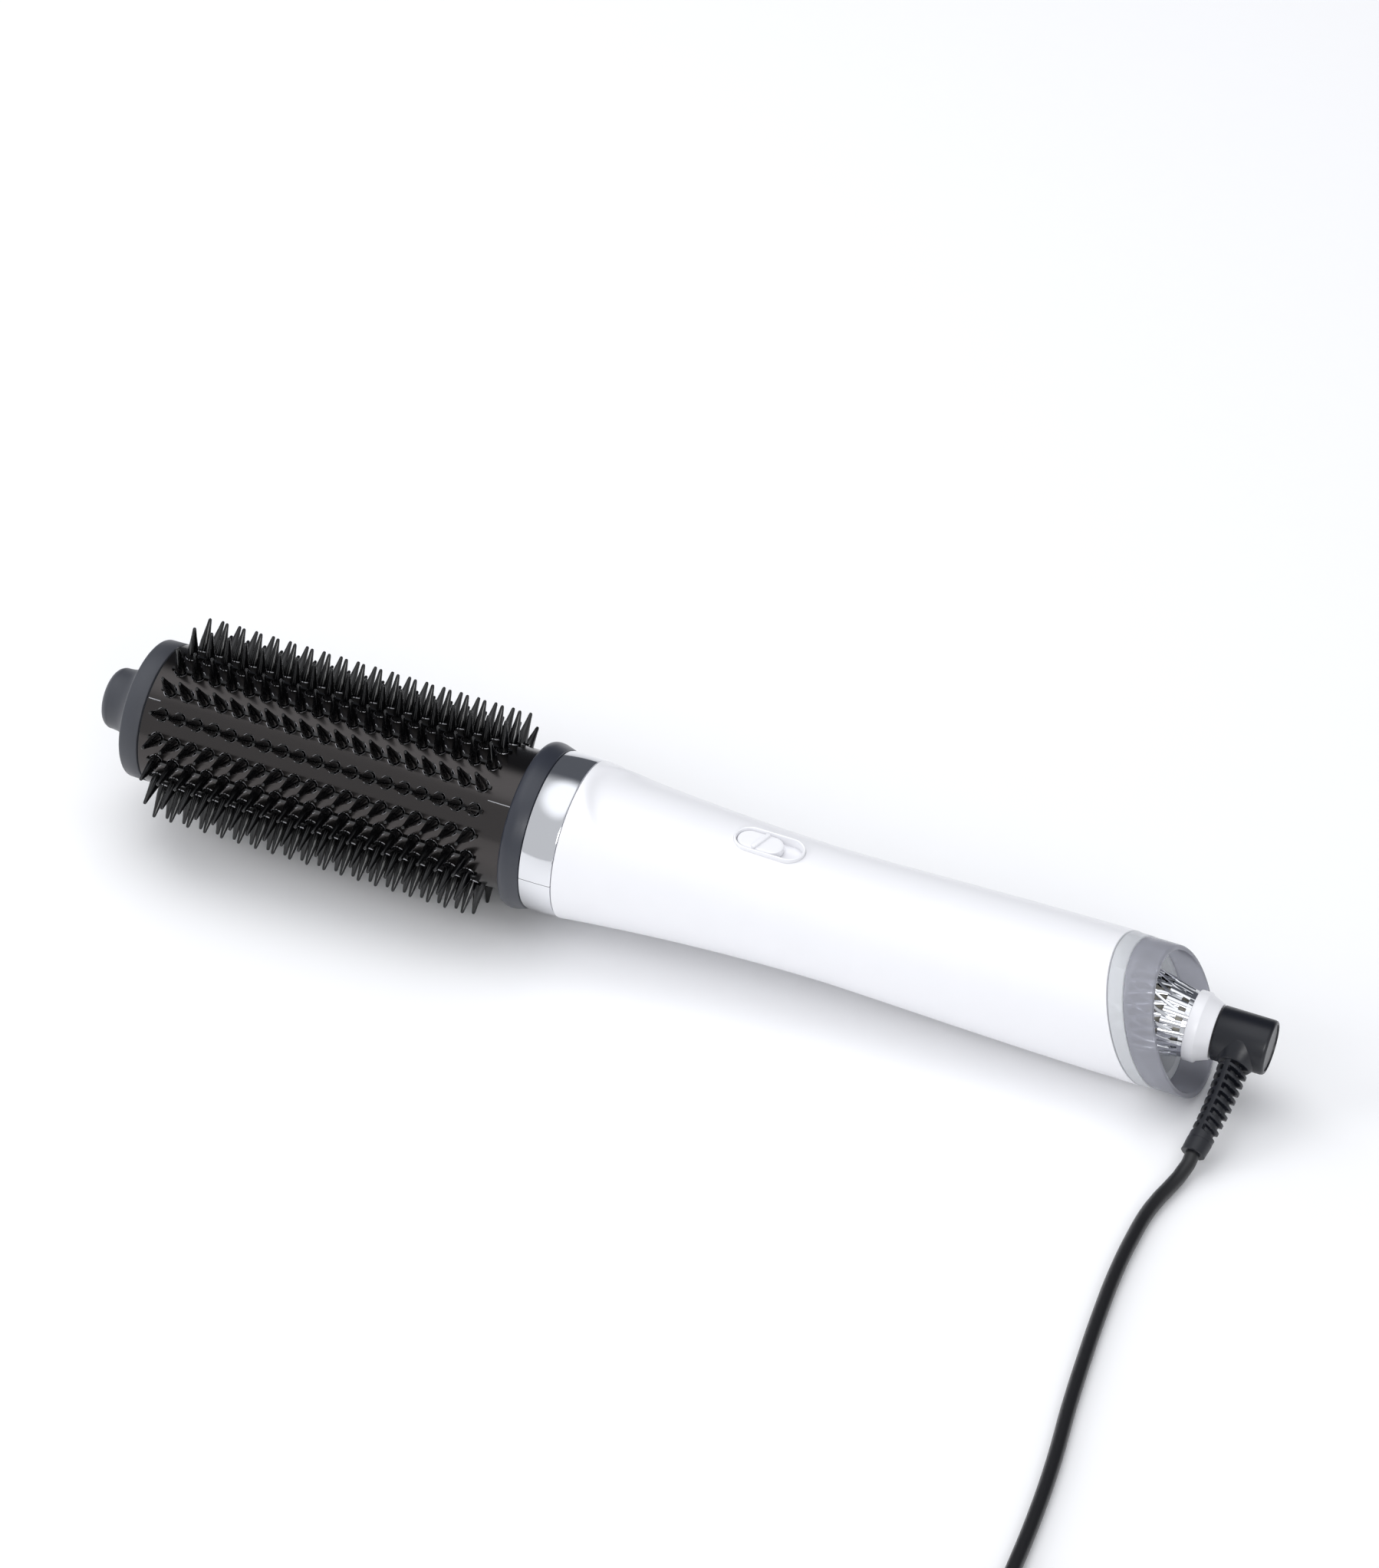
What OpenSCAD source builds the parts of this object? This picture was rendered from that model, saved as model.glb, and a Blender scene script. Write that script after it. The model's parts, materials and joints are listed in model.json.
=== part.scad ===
// Hot air brush with a vented metal barrel, nylon pin combs and a swivel mains cord.
// The handle's axis is X: brush tip towards -X, cord towards +X, switch on top.
// Stations along the axis are counted from the front face of the handle sleeve.
// The brush lies at rest on its pin tips and on the rim of its air intake, at z = 0.

/* [Barrel] */
// Outside diameter of the metal barrel
barrel_d = 46.6; // [38:0.1:48]
// Length of barrel that shows between the tip cap and the heat collar
barrel_len = 128; // [80:1:160]
// Wall of the barrel
barrel_wall = 1; // [0.6:0.1:1.6]
// Wall of the comb core inside the barrel
core_wall = 1.4; // [1:0.1:2]

/* [Pins] */
// Diameter of the circle through the pin tips
pin_circle_d = 68.4; // [60:0.2:84]
// Distance from pin to pin along a comb
pin_pitch = 6.1; // [5.2:0.05:8]
// Diameter of a pin where it leaves the barrel
pin_base_d = 3.8; // [3:0.1:4.8]
// Diameter of a pin's rounded end
pin_tip_d = 1.4; // [0.8:0.1:1.6]
// Bare barrel between the tip cap and the first pin's centre
first_pin_gap = 6.4; // [2.5:0.1:10]
// Least bare barrel between the last pin's centre and the heat collar
last_pin_gap = 10; // [3:0.1:20]

/* [Tip cap] */
// Length of the cap's rim
cap_rim_len = 6.8; // [4:0.1:12]
// Length of the cap beyond its rim, with the knob
cap_knob_len = 14.4; // [10:0.1:24]
// Diameter of the cool knob at its end
knob_d = 20.6; // [14:0.1:24]

/* [Collar and trim ring] */
// Largest diameter of the heat collar
collar_d = 55; // [52:0.1:66]
// Length of the heat collar that shows
collar_len = 7.2; // [5:0.1:12]
// Length of the chrome trim ring
ring_len = 11.4; // [6:0.1:18]
// Diameter of the chrome trim ring
ring_d = 52.3; // [51:0.1:62]

/* [Handle] */
// Length of the handle sleeve along its axis
handle_len = 186.3; // [175:0.1:224]
// Diameter of the sleeve behind the trim ring
handle_front_d = 52.2; // [51:0.1:60]
// Diameter of the sleeve at its waist
handle_waist_d = 42; // [41:0.1:48]
// Diameter of the sleeve at its rear
handle_rear_d = 45.5; // [44:0.1:54]
// Distance from the sleeve's front to its waist
waist_x = 88; // [70:1:100]
// Height of the thumb panel above the axis, at its lowest
panel_z = 20.3; // [20:0.1:24]
// Angle of the rear edges from square
rear_slant = 23.4; // [0:0.1:30]
// Bore of the sleeve's middle, around the air duct
duct_bore_d = 36.4; // [34:0.1:37]
// Bore of the sleeve's rear, around the fan
fan_bore_d = 38.8; // [37:0.1:40]

/* [Switch] */
// Distance from the sleeve's front to the middle of the switch
switch_x = 62.5; // [50:0.5:75]
// Length of the switch's raised rim
bezel_len = 23.5; // [22:0.1:30]
// Width of the switch's raised rim
bezel_w = 11; // [10:0.1:12]
// Travel of the switch slider
switch_travel = 6; // [3:0.1:6]

/* [Air intake] */
// Width of the clear ring along the axis
clear_ring_len = 5.3; // [3:0.1:9]
// Width of the smoke grey intake ring along the axis
intake_ring_len = 9.4; // [6:0.1:12]
// Outside diameter of the intake ring
intake_ring_d = 44.8; // [43:0.1:50]

/* [Fan] */
// Diameter of the motor
motor_d = 25; // [20:0.5:27]
// Length of the motor
motor_len = 26; // [20:0.5:27]
// Diameter of the motor's shaft
shaft_d = 2; // [1.5:0.1:3]
// Diameter of the fan wheel
fan_d = 33.6; // [28:0.1:35]

/* [Cord] */
// Diameter of the mains cord
cord_d = 4.6; // [4:0.1:5]
// Length of the strain relief from the middle of the swivel
relief_len = 41; // [36:0.5:48]
// Length of the plug's pins
plug_pin_len = 19; // [17:0.1:20]
// Diameter of the plug's pins
plug_pin_d = 4.8; // [4:0.05:5]
// Distance between the plug's pins
plug_pin_gap = 19; // [18:0.1:20]

/* [Hidden] */
$fn = 64;
eps = 0.01;
fit_gap = 0.1;     // radial gap of pieces that are pushed together
run_gap = 0.05;    // radial gap of a shaft in its bearing
free_gap = 0.3;    // gap between pieces that move past each other
rows = 18;
row_step = 360 / rows;

// Barrel stations and radii
collar_x = -ring_len - collar_len;
barrel_x = collar_x - barrel_len;
cap_end_x = barrel_x - cap_rim_len - cap_knob_len;
barrel_r = barrel_d / 2;
barrel_in_r = barrel_r - barrel_wall;
collar_lip = 4;
collar_wall = 2.6;
rail_h = 1.9;
rail_w = 4.4;
rail_top_r = barrel_in_r - 0.8;
core_r = rail_top_r - rail_h;
core_in_r = core_r - core_wall;
core_end_x = -10;
duct_x = -8;

// Pins
pin_tip_r = pin_circle_d / 2;
pin_hole_r = pin_base_d / 2 + 0.3;
web_end = 3;
pin_count = floor((barrel_len - first_pin_gap - last_pin_gap) / pin_pitch) + 1;
web_w = 1;
web_top_r = barrel_r + 0.9;
function pin_x(i) = barrel_x + first_pin_gap + i * pin_pitch;

// Handle
front_bore_r = ring_d / 2 - 4.4;
duct_bore_r = duct_bore_d / 2;
fan_bore_r = fan_bore_d / 2;
fan_x = waist_x + 38;
front_bore_len = 14;
shoulder_len = 16;
panel_arc_r = 1300;
panel_cross_r = 28;
panel_front_x = 4;
panel_end_r = 21;
notch_x = handle_len - 3.2;
notch_angle = 131;
notch_ball_r = 6;
handle_front_r = handle_front_d / 2;
handle_waist_r = handle_waist_d / 2;
handle_rear_r = handle_rear_d / 2;
edge_round = 0.6;
function handle_r(x) = x < waist_x
    ? handle_waist_r + (handle_front_r - handle_waist_r) * pow(1 - x / waist_x, 1.9)
    : handle_waist_r + (handle_rear_r - handle_waist_r)
        * pow(sin(90 * min(1, (x - waist_x) / (handle_len - waist_x))), 1.3);

// Air duct and switch
duct_r = duct_bore_r - fit_gap;
duct_wall = 1.2;
flat_z = 9.6;
flat_x0 = 36;
flat_x1 = fan_x - 14;
bezel_z0 = flat_z + 7;
bezel_z1 = panel_z + 1.2;
pocket_z = bezel_z1 - 3.1;
bezel_wall = 0.85;
slider_len = bezel_len - 2 * bezel_wall - switch_travel - 2 * free_gap;
slider_w = bezel_w - 2 * bezel_wall - 2 * free_gap - 0.5;
slider_x = switch_x - switch_travel / 2;
stem_len = 3;
stem_w = 2.4;
stem_z0 = flat_z + 3.9;
slot_w = stem_w + 2 * free_gap;
slot_len = stem_len + switch_travel + 4 * free_gap;

// Fan
housing_wall = 1.1;
housing_r = fan_bore_r - fit_gap;
housing_len = 44;
cup_x = fan_x + 3;
cup_wall = 1.2;
mount_wall = 1;
cup_r = motor_d / 2 + mount_wall;
cup_len = 18;
motor_x = cup_x + cup_wall + mount_wall;
fan_len = 8.5;
wheel_x = motor_x + motor_len + 1.6;
shaft_x = motor_x + motor_len - 16;
intake_x = fan_x + housing_len;
blades = 7;
blade_pitch = 35;
vanes = 6;

// Air intake
intake_r = intake_ring_d / 2;
spigot_r = fan_bore_r - 0.08;
spigot_wall = 0.8;
flange_len = 1.2;
mesh_t = 0.4;
basket_x = intake_x + mesh_t + flange_len;
basket_r = spigot_r - spigot_wall - 0.5;
basket_wall = 1.2;
rim_x = handle_len + clear_ring_len + intake_ring_len;
collar_plate_x = rim_x + 2.5;
collar_plate_r = 11.2;
basket_end_r = collar_plate_r - 0.8;
basket_slots = 20;

// Swivel
neck_r = 6;
elbow_r = 8.7;
bevel_x = collar_plate_x + 4.1;
swivel_x = collar_plate_x + 8;
elbow_x = swivel_x + free_gap;
elbow_end_x = elbow_x + 17.2;
relief_x = elbow_x + 8.7;
relief_angle = 114;   // from the top, towards -Y
relief_lean = 4;
relief_root = 5;
relief_r0 = 4.9;
relief_r1 = 3.9;
relief_slots = 9;

// Rest: the tilt that brings the pin tips and the intake ring's lower edge to one level
lowest_tip_r = (pin_tip_r - pin_tip_d / 2) * cos(row_step / 2) + pin_tip_d / 2;
last_pin_x = pin_x(pin_count - 1);
rest_x = rim_x + intake_r * tan(rear_slant);
rest_tilt = atan((lowest_tip_r - intake_r) / (rest_x - last_pin_x));
rest_z = rest_x * sin(rest_tilt) + intake_r * cos(rest_tilt);
origin_x = -((cap_end_x + elbow_end_x) * cos(rest_tilt)
    + (elbow_r - knob_d / 2) * sin(rest_tilt)) / 2;

// Cord: hand laid route on the floor, in the standing frame
cord_r = cord_d / 2;
relief_dir = [
    -sin(relief_lean),
    -sin(relief_angle) * cos(relief_lean),
    cos(relief_angle) * cos(relief_lean)
];
exit_axis = [relief_x, 0, 0] + relief_len * relief_dir;
function standing(p) = [
    origin_x + p[0] * cos(rest_tilt) + p[2] * sin(rest_tilt),
    p[1],
    rest_z - p[0] * sin(rest_tilt) + p[2] * cos(rest_tilt)
];
function turned(d) = [
    d[0] * cos(rest_tilt) + d[2] * sin(rest_tilt),
    d[1],
    -d[0] * sin(rest_tilt) + d[2] * cos(rest_tilt)
];
cord_start = standing(exit_axis);
cord_route = [
    [182.2, -52, 2.3], [180.8, -62, 2.3], [179.9, -76, 2.3], [180, -92, 2.3],
    [181, -108, 2.3], [182.6, -126, 2.3], [185, -148, 2.3], [188, -170, 2.3],
    [190, -192, 2.3], [191, -214, 2.3], [191.4, -232, 2.3], [191.4, -240, 2.5]
];
cord_path = concat(
    [cord_start, cord_start + 4 * turned(relief_dir), cord_start + 8 * turned(relief_dir) + [0, 0, 0.9]],
    cord_route);
tail_path = [
    [193, -282, 15.8], [193.5, -290, 13.4], [192.5, -298, 10.8], [189, -306, 8.6], [183, -312, 7.6],
    [175, -315, 7.8], [167, -316, 8.6], [159, -316, 9.6], [150, -316, 10]
];
coil_at = [224.5, -268, 0.8];
coil_mid_r = 26;
coil_half = 9.5;
coil_h = 19;
coil_edge = 1.5;
tie_t = 0.8;
tie_w = 8;
// The coil's inner wall curves away from the strap's straight leg
tie_gap = coil_mid_r - coil_half - sqrt(pow(coil_mid_r - coil_half, 2) - pow(tie_w / 2, 2)) + 0.2;
plug_tip = [150, -316, 10];
plug_neck_len = 18;
plug_len = 30;
plug_w = 36;
plug_h = 20;

// ---------- helpers ----------

// Puts the axis frame on the floor
module place() translate([origin_x, 0, rest_z]) rotate([0, rest_tilt, 0]) children();

// Solid of revolution about the handle's axis from [x, r] points
module lathe(points) rotate([0, 90, 0]) rotate_extrude() polygon([for (p = points) [p[1], p[0]]]);

module tube_x(x, len, r, in_r) lathe([[x, in_r], [x + len, in_r], [x + len, r], [x, r]]);

module rod_x(x, len, r) translate([x, 0, 0]) rotate([0, 90, 0]) cylinder(h = len, r = r);

// Everything behind the slanted plane that crosses the axis at x
module behind(x) translate([x, 0, 0]) rotate([0, -rear_slant, 0])
    translate([0, -50, -60]) cube([120, 100, 120]);

// Flat shape with round ends, lying along X
module stadium(len, w) {
    square([len - w, w], center = true);
    for (s = [-1, 1]) translate([s * (len - w) / 2, 0]) circle(d = w);
}

// Swept tube through the points of a path
function unit(v) = v / norm(v);
function tangent(p, i) = unit(p[min(i + 1, len(p) - 1)] - p[max(i - 1, 0)]);
function side(t) = unit(cross(t, abs(t[2]) > 0.9 ? [1, 0, 0] : [0, 0, 1]));
module sweep(path, r, sides, t0 = undef, t1 = undef) {
    n = len(path);
    points = [for (i = [0 : n - 1])
        let (
            t = i == 0 && !is_undef(t0) ? t0 : i == n - 1 && !is_undef(t1) ? t1 : tangent(path, i),
            a = side(t),
            b = cross(t, a)
        )
        for (k = [0 : sides - 1])
            path[i] + r * (cos(360 * k / sides) * a + sin(360 * k / sides) * b)];
    skin = [for (i = [0 : n - 2]) for (k = [0 : sides - 1])
        let (k1 = (k + 1) % sides)
        [i * sides + k, i * sides + k1, (i + 1) * sides + k1, (i + 1) * sides + k]];
    polyhedron(points, concat(skin,
        [[for (k = [sides - 1 : -1 : 0]) k]],
        [[for (k = [0 : sides - 1]) (n - 1) * sides + k]]));
}

// ---------- barrel ----------

// Hollow cap: a round-ended knob that flares out to the barrel
module tip_cap() color("#3b3d40") place() difference() {
    knob_r = knob_d / 2;
    flare_x = barrel_x - cap_rim_len;
    neck_x = flare_x - cap_knob_len / 2;
    root_r = knob_r + 0.3;
    lathe(concat(
        [[cap_end_x, 0], [cap_end_x, knob_r - 2.6], [cap_end_x + 0.3, knob_r - 1.4],
         [cap_end_x + 1, knob_r - 0.5], [cap_end_x + 2.4, knob_r]],
        [for (a = [0 : 10 : 80])
            [neck_x + (flare_x - neck_x) * sin(a), root_r + (barrel_r - 0.8 - root_r) * (1 - cos(a))]],
        [[flare_x + 0.4, barrel_r - 0.3], [flare_x + 1.2, barrel_r], [barrel_x - 0.5, barrel_r],
         [barrel_x - 0.5, barrel_r - 0.8], [barrel_x, barrel_r - 0.8], [barrel_x, core_in_r - fit_gap],
         [barrel_x + 6, core_in_r - fit_gap], [barrel_x + 6, 0]]
    ));
    lathe([
        [cap_end_x + 2.4, 0], [cap_end_x + 2.4, knob_r - 2.2], [neck_x + 2, knob_r - 1.6],
        [flare_x + 2.5, core_in_r - 2.4], [barrel_x + 6 + eps, core_in_r - 2.4], [barrel_x + 6 + eps, 0]
    ]);
}

// Row of pin holes joined by a slot for the comb's web
module comb_cut(row) rotate([row_step * (row + 0.5), 0, 0])
    translate([0, 0, barrel_in_r - 2]) linear_extrude(barrel_wall + 3) {
        for (i = [0 : pin_count - 1]) translate([pin_x(i), 0]) circle(r = pin_hole_r);
        translate([pin_x(0) - web_end - 0.15, -web_w / 2 - 0.15])
            square([pin_pitch * (pin_count - 1) + 2 * web_end + 0.3, web_w + 0.3]);
    }

module barrel_tube() color("#4d4947") place() difference() {
    tube_x(barrel_x, barrel_len + collar_lip, barrel_r, barrel_in_r);
    for (row = [0 : rows - 1]) comb_cut(row);
}

module pin() {
    stem = pin_tip_r - rail_top_r;
    tip = pin_tip_d / 2;
    rotate_extrude() polygon([
        [0, 0], [pin_base_d / 2, 0], [pin_base_d / 2, web_top_r - rail_top_r],
        [pin_base_d * 0.36, stem * 0.5], [tip, stem - tip], [tip * 0.8, stem - tip * 0.4], [0, stem]
    ]);
}

// One comb: a rail under the barrel, a thin web in the slot and the pins
module bristle_strip(row) color("#141416") place() rotate([row_step * (row + 0.5), 0, 0]) {
    x0 = barrel_x + 0.2;
    translate([x0, -rail_w / 2, core_r]) cube([barrel_len + collar_lip - 0.4, rail_w, rail_h]);
    translate([pin_x(0) - web_end, -web_w / 2, rail_top_r - eps])
        cube([pin_pitch * (pin_count - 1) + 2 * web_end, web_w, web_top_r - rail_top_r - 0.1]);
    for (i = [0 : pin_count - 1]) translate([pin_x(i), 0, rail_top_r - eps]) pin();
}

// Faceted tube with one flat under each comb and air slots between the combs
module comb_core() color("#8d8a80") place() difference() {
    corner_r = core_r / cos(row_step / 2);
    rotate([0, 90, 0]) translate([0, 0, barrel_x]) linear_extrude(core_end_x - barrel_x) difference() {
        polygon([for (k = [0 : rows - 1])
            corner_r * [cos(k * row_step), sin(k * row_step)]]);
        circle(r = core_in_r);
    }
    slot = (barrel_len - 20) / 4;
    for (k = [0 : 2 : rows - 1]) for (s = [0 : 3])
        rotate([row_step * k, 0, 0])
            translate([barrel_x + 8 + s * (slot + 2), -0.9, core_in_r - 1]) cube([slot, 1.8, core_wall + 3]);
}

// ---------- heater ----------
heater_x0 = barrel_x + 14;
heater_x1 = duct_x;
board_half = core_in_r - 3.6;
board_t = 1;
wire_r = 0.6;

module heater_frame() color("#b9ad8c") place() for (a = [0, 90]) rotate([a + 45, 0, 0]) {
    translate([heater_x0, -board_t / 2, -board_half])
        cube([heater_x1 - heater_x0, board_t, 2 * board_half]);
    translate([heater_x1 - 5, -board_t / 2, -duct_r + 0.4]) cube([5, board_t, 2 * duct_r - 0.8]);
}

module heating_coil() color("#9a938c") place() {
    turns = 14;
    gap = (heater_x1 - heater_x0 - 30) / (turns - 1);
    ring_r = board_half + wire_r;
    for (i = [0 : turns - 1]) translate([heater_x0 + 8 + i * gap, 0, 0])
        rotate([0, 90, 0]) rotate_extrude() translate([ring_r, 0]) circle(r = wire_r, $fn = 16);
    translate([0, 0, ring_r]) rod_x(heater_x0 + 8, (turns - 1) * gap, wire_r);
}

module thermostat() color("#d9d4c8") place() rotate([45, 0, 0])
    translate([heater_x1 - 34, board_t / 2, board_t / 2]) cube([14, 4, 8]);

module thermal_fuse() color("#c9c9cc") place() rotate([45, 0, 0])
    translate([heater_x1 - 34, -board_t / 2 - 1.6, board_t / 2 + 1.6])
        rotate([0, 90, 0]) cylinder(h = 12, r = 1.6);

// ---------- collar and trim ring ----------

module heat_collar() color("#34363c") place() {
    collar_r = collar_d / 2;
    root_r = ring_d / 2 + 0.3;
    spigot_out = front_bore_r - fit_gap;
    spigot_in = core_r / cos(row_step / 2) + 0.3;
    lathe([
        [collar_x, barrel_r + fit_gap], [collar_x + 0.2, collar_r - 1.2], [collar_x + 0.9, collar_r - 0.3],
        [collar_x + 2.2, collar_r], [collar_x + 4.2, collar_r - 0.2], [-ring_len, root_r],
        [-ring_len, spigot_out], [front_bore_len - 1, spigot_out], [front_bore_len - 1, spigot_in],
        [collar_x + collar_lip, spigot_in], [collar_x + collar_lip, barrel_r + fit_gap]
    ]);
}

module trim_ring() lathe([
    [-ring_len, front_bore_r], [-ring_len, ring_d / 2 - 0.3], [-ring_len + 0.3, ring_d / 2],
    [-0.6, handle_front_r - 0.5], [-0.3, handle_front_r - 0.9], [-0.3, front_bore_r]
]);

module trim_ring_upper() color("#c7c9cc") place() intersection() {
    trim_ring();
    translate([-ring_len - 1, -60, 0]) cube([ring_len + 2, 120, 60]);
}

module trim_ring_lower() color("#c7c9cc") place() intersection() {
    trim_ring();
    translate([-ring_len - 1, -60, -60]) cube([ring_len + 2, 120, 60]);
}

// ---------- handle ----------

// The thumb panel: a long shallow saddle with an oval front end
module panel_cut() intersection() {
    translate([waist_x + 5, 0, panel_z + panel_arc_r]) rotate([90, 0, 0]) rotate([0, 0, 264])
        rotate_extrude(angle = 12, $fn = 1200) difference() {
            translate([panel_arc_r - 30, -26]) square([46, 52]);
            translate([panel_arc_r + panel_cross_r, 0]) circle(r = panel_cross_r, $fn = 128);
        }
    translate([0, 0, 5]) linear_extrude(40) {
        translate([panel_front_x + panel_end_r, 0]) circle(r = panel_end_r);
        translate([panel_front_x + panel_end_r, -panel_end_r])
            square([handle_len, 2 * panel_end_r]);
    }
}

module handle_sleeve() color("#f2f2f4") place() difference() {
    steps = 36;
    end_x = handle_len + handle_rear_r;
    lathe(concat(
        [[-0.3, front_bore_r], [-0.3, handle_front_r - edge_round], [0.1, handle_front_r - 0.15]],
        [for (i = [0 : steps]) let (x = 1 + i * (end_x - 1) / steps) [x, handle_r(x)]],
        [[end_x, fan_bore_r], [fan_x, fan_bore_r], [fan_x, duct_bore_r], [shoulder_len, duct_bore_r],
         [shoulder_len, front_bore_r]]
    ));
    behind(handle_len);
    panel_cut();
    translate([switch_x, 0, flat_z]) linear_extrude(20)
        stadium(bezel_len + 2 * fit_gap, bezel_w + 2 * fit_gap);
    for (a = [-1, 1]) rotate([a * notch_angle, 0, 0])
        translate([notch_x, 0, handle_r(notch_x) + notch_ball_r - 1]) sphere(r = notch_ball_r);
}

// ---------- switch ----------

module switch_bezel() color("#e9e9ec") place() difference() {
    translate([switch_x, 0, bezel_z0]) linear_extrude(bezel_z1 - bezel_z0) stadium(bezel_len, bezel_w);
    translate([switch_x, 0, pocket_z]) linear_extrude(10)
        stadium(bezel_len - 2 * bezel_wall, bezel_w - 2 * bezel_wall);
    translate([switch_x - slot_len / 2, -slot_w / 2, bezel_z0 - 1]) cube([slot_len, slot_w, 10]);
}

module switch_slider() color("#f4f4f6") place() translate([slider_x, 0, 0]) {
    plate_z = pocket_z + free_gap;
    translate([0, 0, plate_z]) linear_extrude(2.2) stadium(slider_len, slider_w);
    translate([-0.9, -slider_w / 2, plate_z + 2.2 - eps]) cube([1.8, slider_w, 0.9]);
    translate([-stem_len / 2, -stem_w / 2, stem_z0]) cube([stem_len, stem_w, plate_z - stem_z0 + eps]);
}

module switch_module() color("#2a2a2c") place() difference() {
    translate([switch_x - 13, -4.8, flat_z]) cube([26, 9.6, bezel_z0 - flat_z]);
    translate([switch_x - slot_len / 2, -slot_w / 2, stem_z0 - 0.5]) cube([slot_len, slot_w, 20]);
}

module wiring_board() color("#2f6b46") place() translate([switch_x + 15, -6, flat_z]) {
    cube([30, 12, 1.2]);
    translate([3, 1.5, 1.2 - eps]) cube([8, 4, 3]);
    translate([14, 2, 1.2 - eps]) cube([5, 8, 2.4]);
    translate([24, 6, 1.2 - eps]) cylinder(h = 5, d = 5);
}

// Duct with a flat on top that carries the switch and the wiring board
module air_duct() color("#d8d2c2") place() difference() {
    difference() {
        rod_x(duct_x, fan_x - duct_x, duct_r);
        translate([flat_x0, -30, flat_z]) cube([flat_x1 - flat_x0, 60, 40]);
    }
    difference() {
        rod_x(duct_x - 1, fan_x - duct_x + 2, duct_r - duct_wall);
        translate([flat_x0 - duct_wall, -30, flat_z - duct_wall])
            cube([flat_x1 - flat_x0 + 2 * duct_wall, 60, 40]);
    }
}

// ---------- fan ----------

module fan_housing() color("#5b5e63") place() {
    tube_x(fan_x, housing_len, housing_r, housing_r - housing_wall);
    tube_x(cup_x, cup_len, cup_r + cup_wall, cup_r);
    tube_x(cup_x, cup_wall, cup_r + eps, 6);
    for (i = [0 : vanes - 1]) rotate([i * 360 / vanes, 0, 0])
        translate([cup_x, -0.6, cup_r + cup_wall - 0.3])
            cube([cup_len, 1.2, housing_r - housing_wall - cup_r - cup_wall + 0.6]);
}

module motor_mount() color("#1d1d1f") place() lathe([
    [cup_x + cup_wall, 8], [motor_x, 8], [motor_x, motor_d / 2 + run_gap],
    [cup_x + cup_len - 2, motor_d / 2 + run_gap], [cup_x + cup_len - 2, cup_r - run_gap],
    [cup_x + cup_wall, cup_r - run_gap]
]);

module motor() color("#a7a9ac") place() difference() {
    lathe([
        [motor_x, 0], [motor_x, motor_d / 2 - 0.8], [motor_x + 0.8, motor_d / 2],
        [motor_x + motor_len - 0.8, motor_d / 2], [motor_x + motor_len, motor_d / 2 - 0.8],
        [motor_x + motor_len, 0]
    ]);
    rod_x(shaft_x - 1, motor_len, shaft_d / 2 + run_gap);
}

module rotor_shaft() color("#c9cbce") place()
    rod_x(shaft_x, wheel_x + fan_len - shaft_x - 0.5, shaft_d / 2);

module fan_wheel() color("#26282b") place() {
    hub_r = 6;
    difference() {
        rod_x(wheel_x, fan_len, hub_r);
        rod_x(wheel_x - 1, fan_len + 2, shaft_d / 2);
    }
    for (i = [0 : blades - 1]) rotate([i * 360 / blades, 0, 0])
        translate([wheel_x + fan_len / 2, 0, hub_r - 0.5]) rotate([0, 0, blade_pitch])
            translate([-fan_len / 2, -0.6, 0]) cube([fan_len, 1.2, fan_d / 2 - hub_r]);
}

// ---------- air intake ----------

module filter_mesh() color("#8b8d90") place() difference() {
    rod_x(intake_x, mesh_t, housing_r - 0.2);
    rod_x(intake_x - 1, mesh_t + 2, 3);
    for (ring = [1 : 4]) for (k = [0 : ring * 8 - 1]) rotate([k * 360 / (ring * 8), 0, 0])
        translate([0, 0, 1.8 + ring * 3.4]) rod_x(intake_x - 1, mesh_t + 2, 0.9);
}

// Chrome cone grille with straight slots towards the cord collar
module intake_basket() color("#d5d7da") place() difference() {
    lathe([
        [intake_x + mesh_t, basket_r - 3], [intake_x + mesh_t, housing_r - 0.2],
        [basket_x, housing_r - 0.2], [basket_x, basket_r], [collar_plate_x, basket_end_r],
        [collar_plate_x, basket_end_r - basket_wall], [basket_x, basket_r - basket_wall],
        [basket_x, basket_r - 3]
    ]);
    for (k = [0 : basket_slots - 1]) rotate([(k + 0.5) * 360 / basket_slots, 0, 0])
        translate([basket_x + 2.5, -0.8, basket_end_r - 2]) cube([collar_plate_x - basket_x - 5, 1.6, 12]);
}

module cord_collar() color("#f0f0f2") place() difference() {
    lathe([
        [collar_plate_x, 0], [collar_plate_x, collar_plate_r - 0.3], [collar_plate_x + 0.3, collar_plate_r],
        [bevel_x - 0.4, collar_plate_r], [bevel_x, collar_plate_r - 0.4], [swivel_x, elbow_r + 0.2],
        [swivel_x, 0]
    ]);
    rod_x(collar_plate_x - 1, 12, neck_r + run_gap);
}

module contact_block() color("#e4e2da") place() {
    block_r = basket_end_r - basket_wall - 0.2;
    tube_x(collar_plate_x - 13, 13, block_r, block_r - 1.2);
    rod_x(collar_plate_x - 14, 1 + eps, block_r);
}

module clear_ring() color("#d7dbe2", 0.6) place() {
    difference() {
        tube_x(handle_len - 20, 50, handle_rear_r - 0.15, fan_bore_r - 0.9);
        difference() {
            translate([handle_len - 30, -50, -60]) cube([100, 100, 120]);
            behind(handle_len + free_gap);
        }
        behind(handle_len + clear_ring_len);
    }
    difference() {
        tube_x(basket_x + 0.6, 50, spigot_r, spigot_r - spigot_wall);
        behind(handle_len + clear_ring_len);
    }
}

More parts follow.
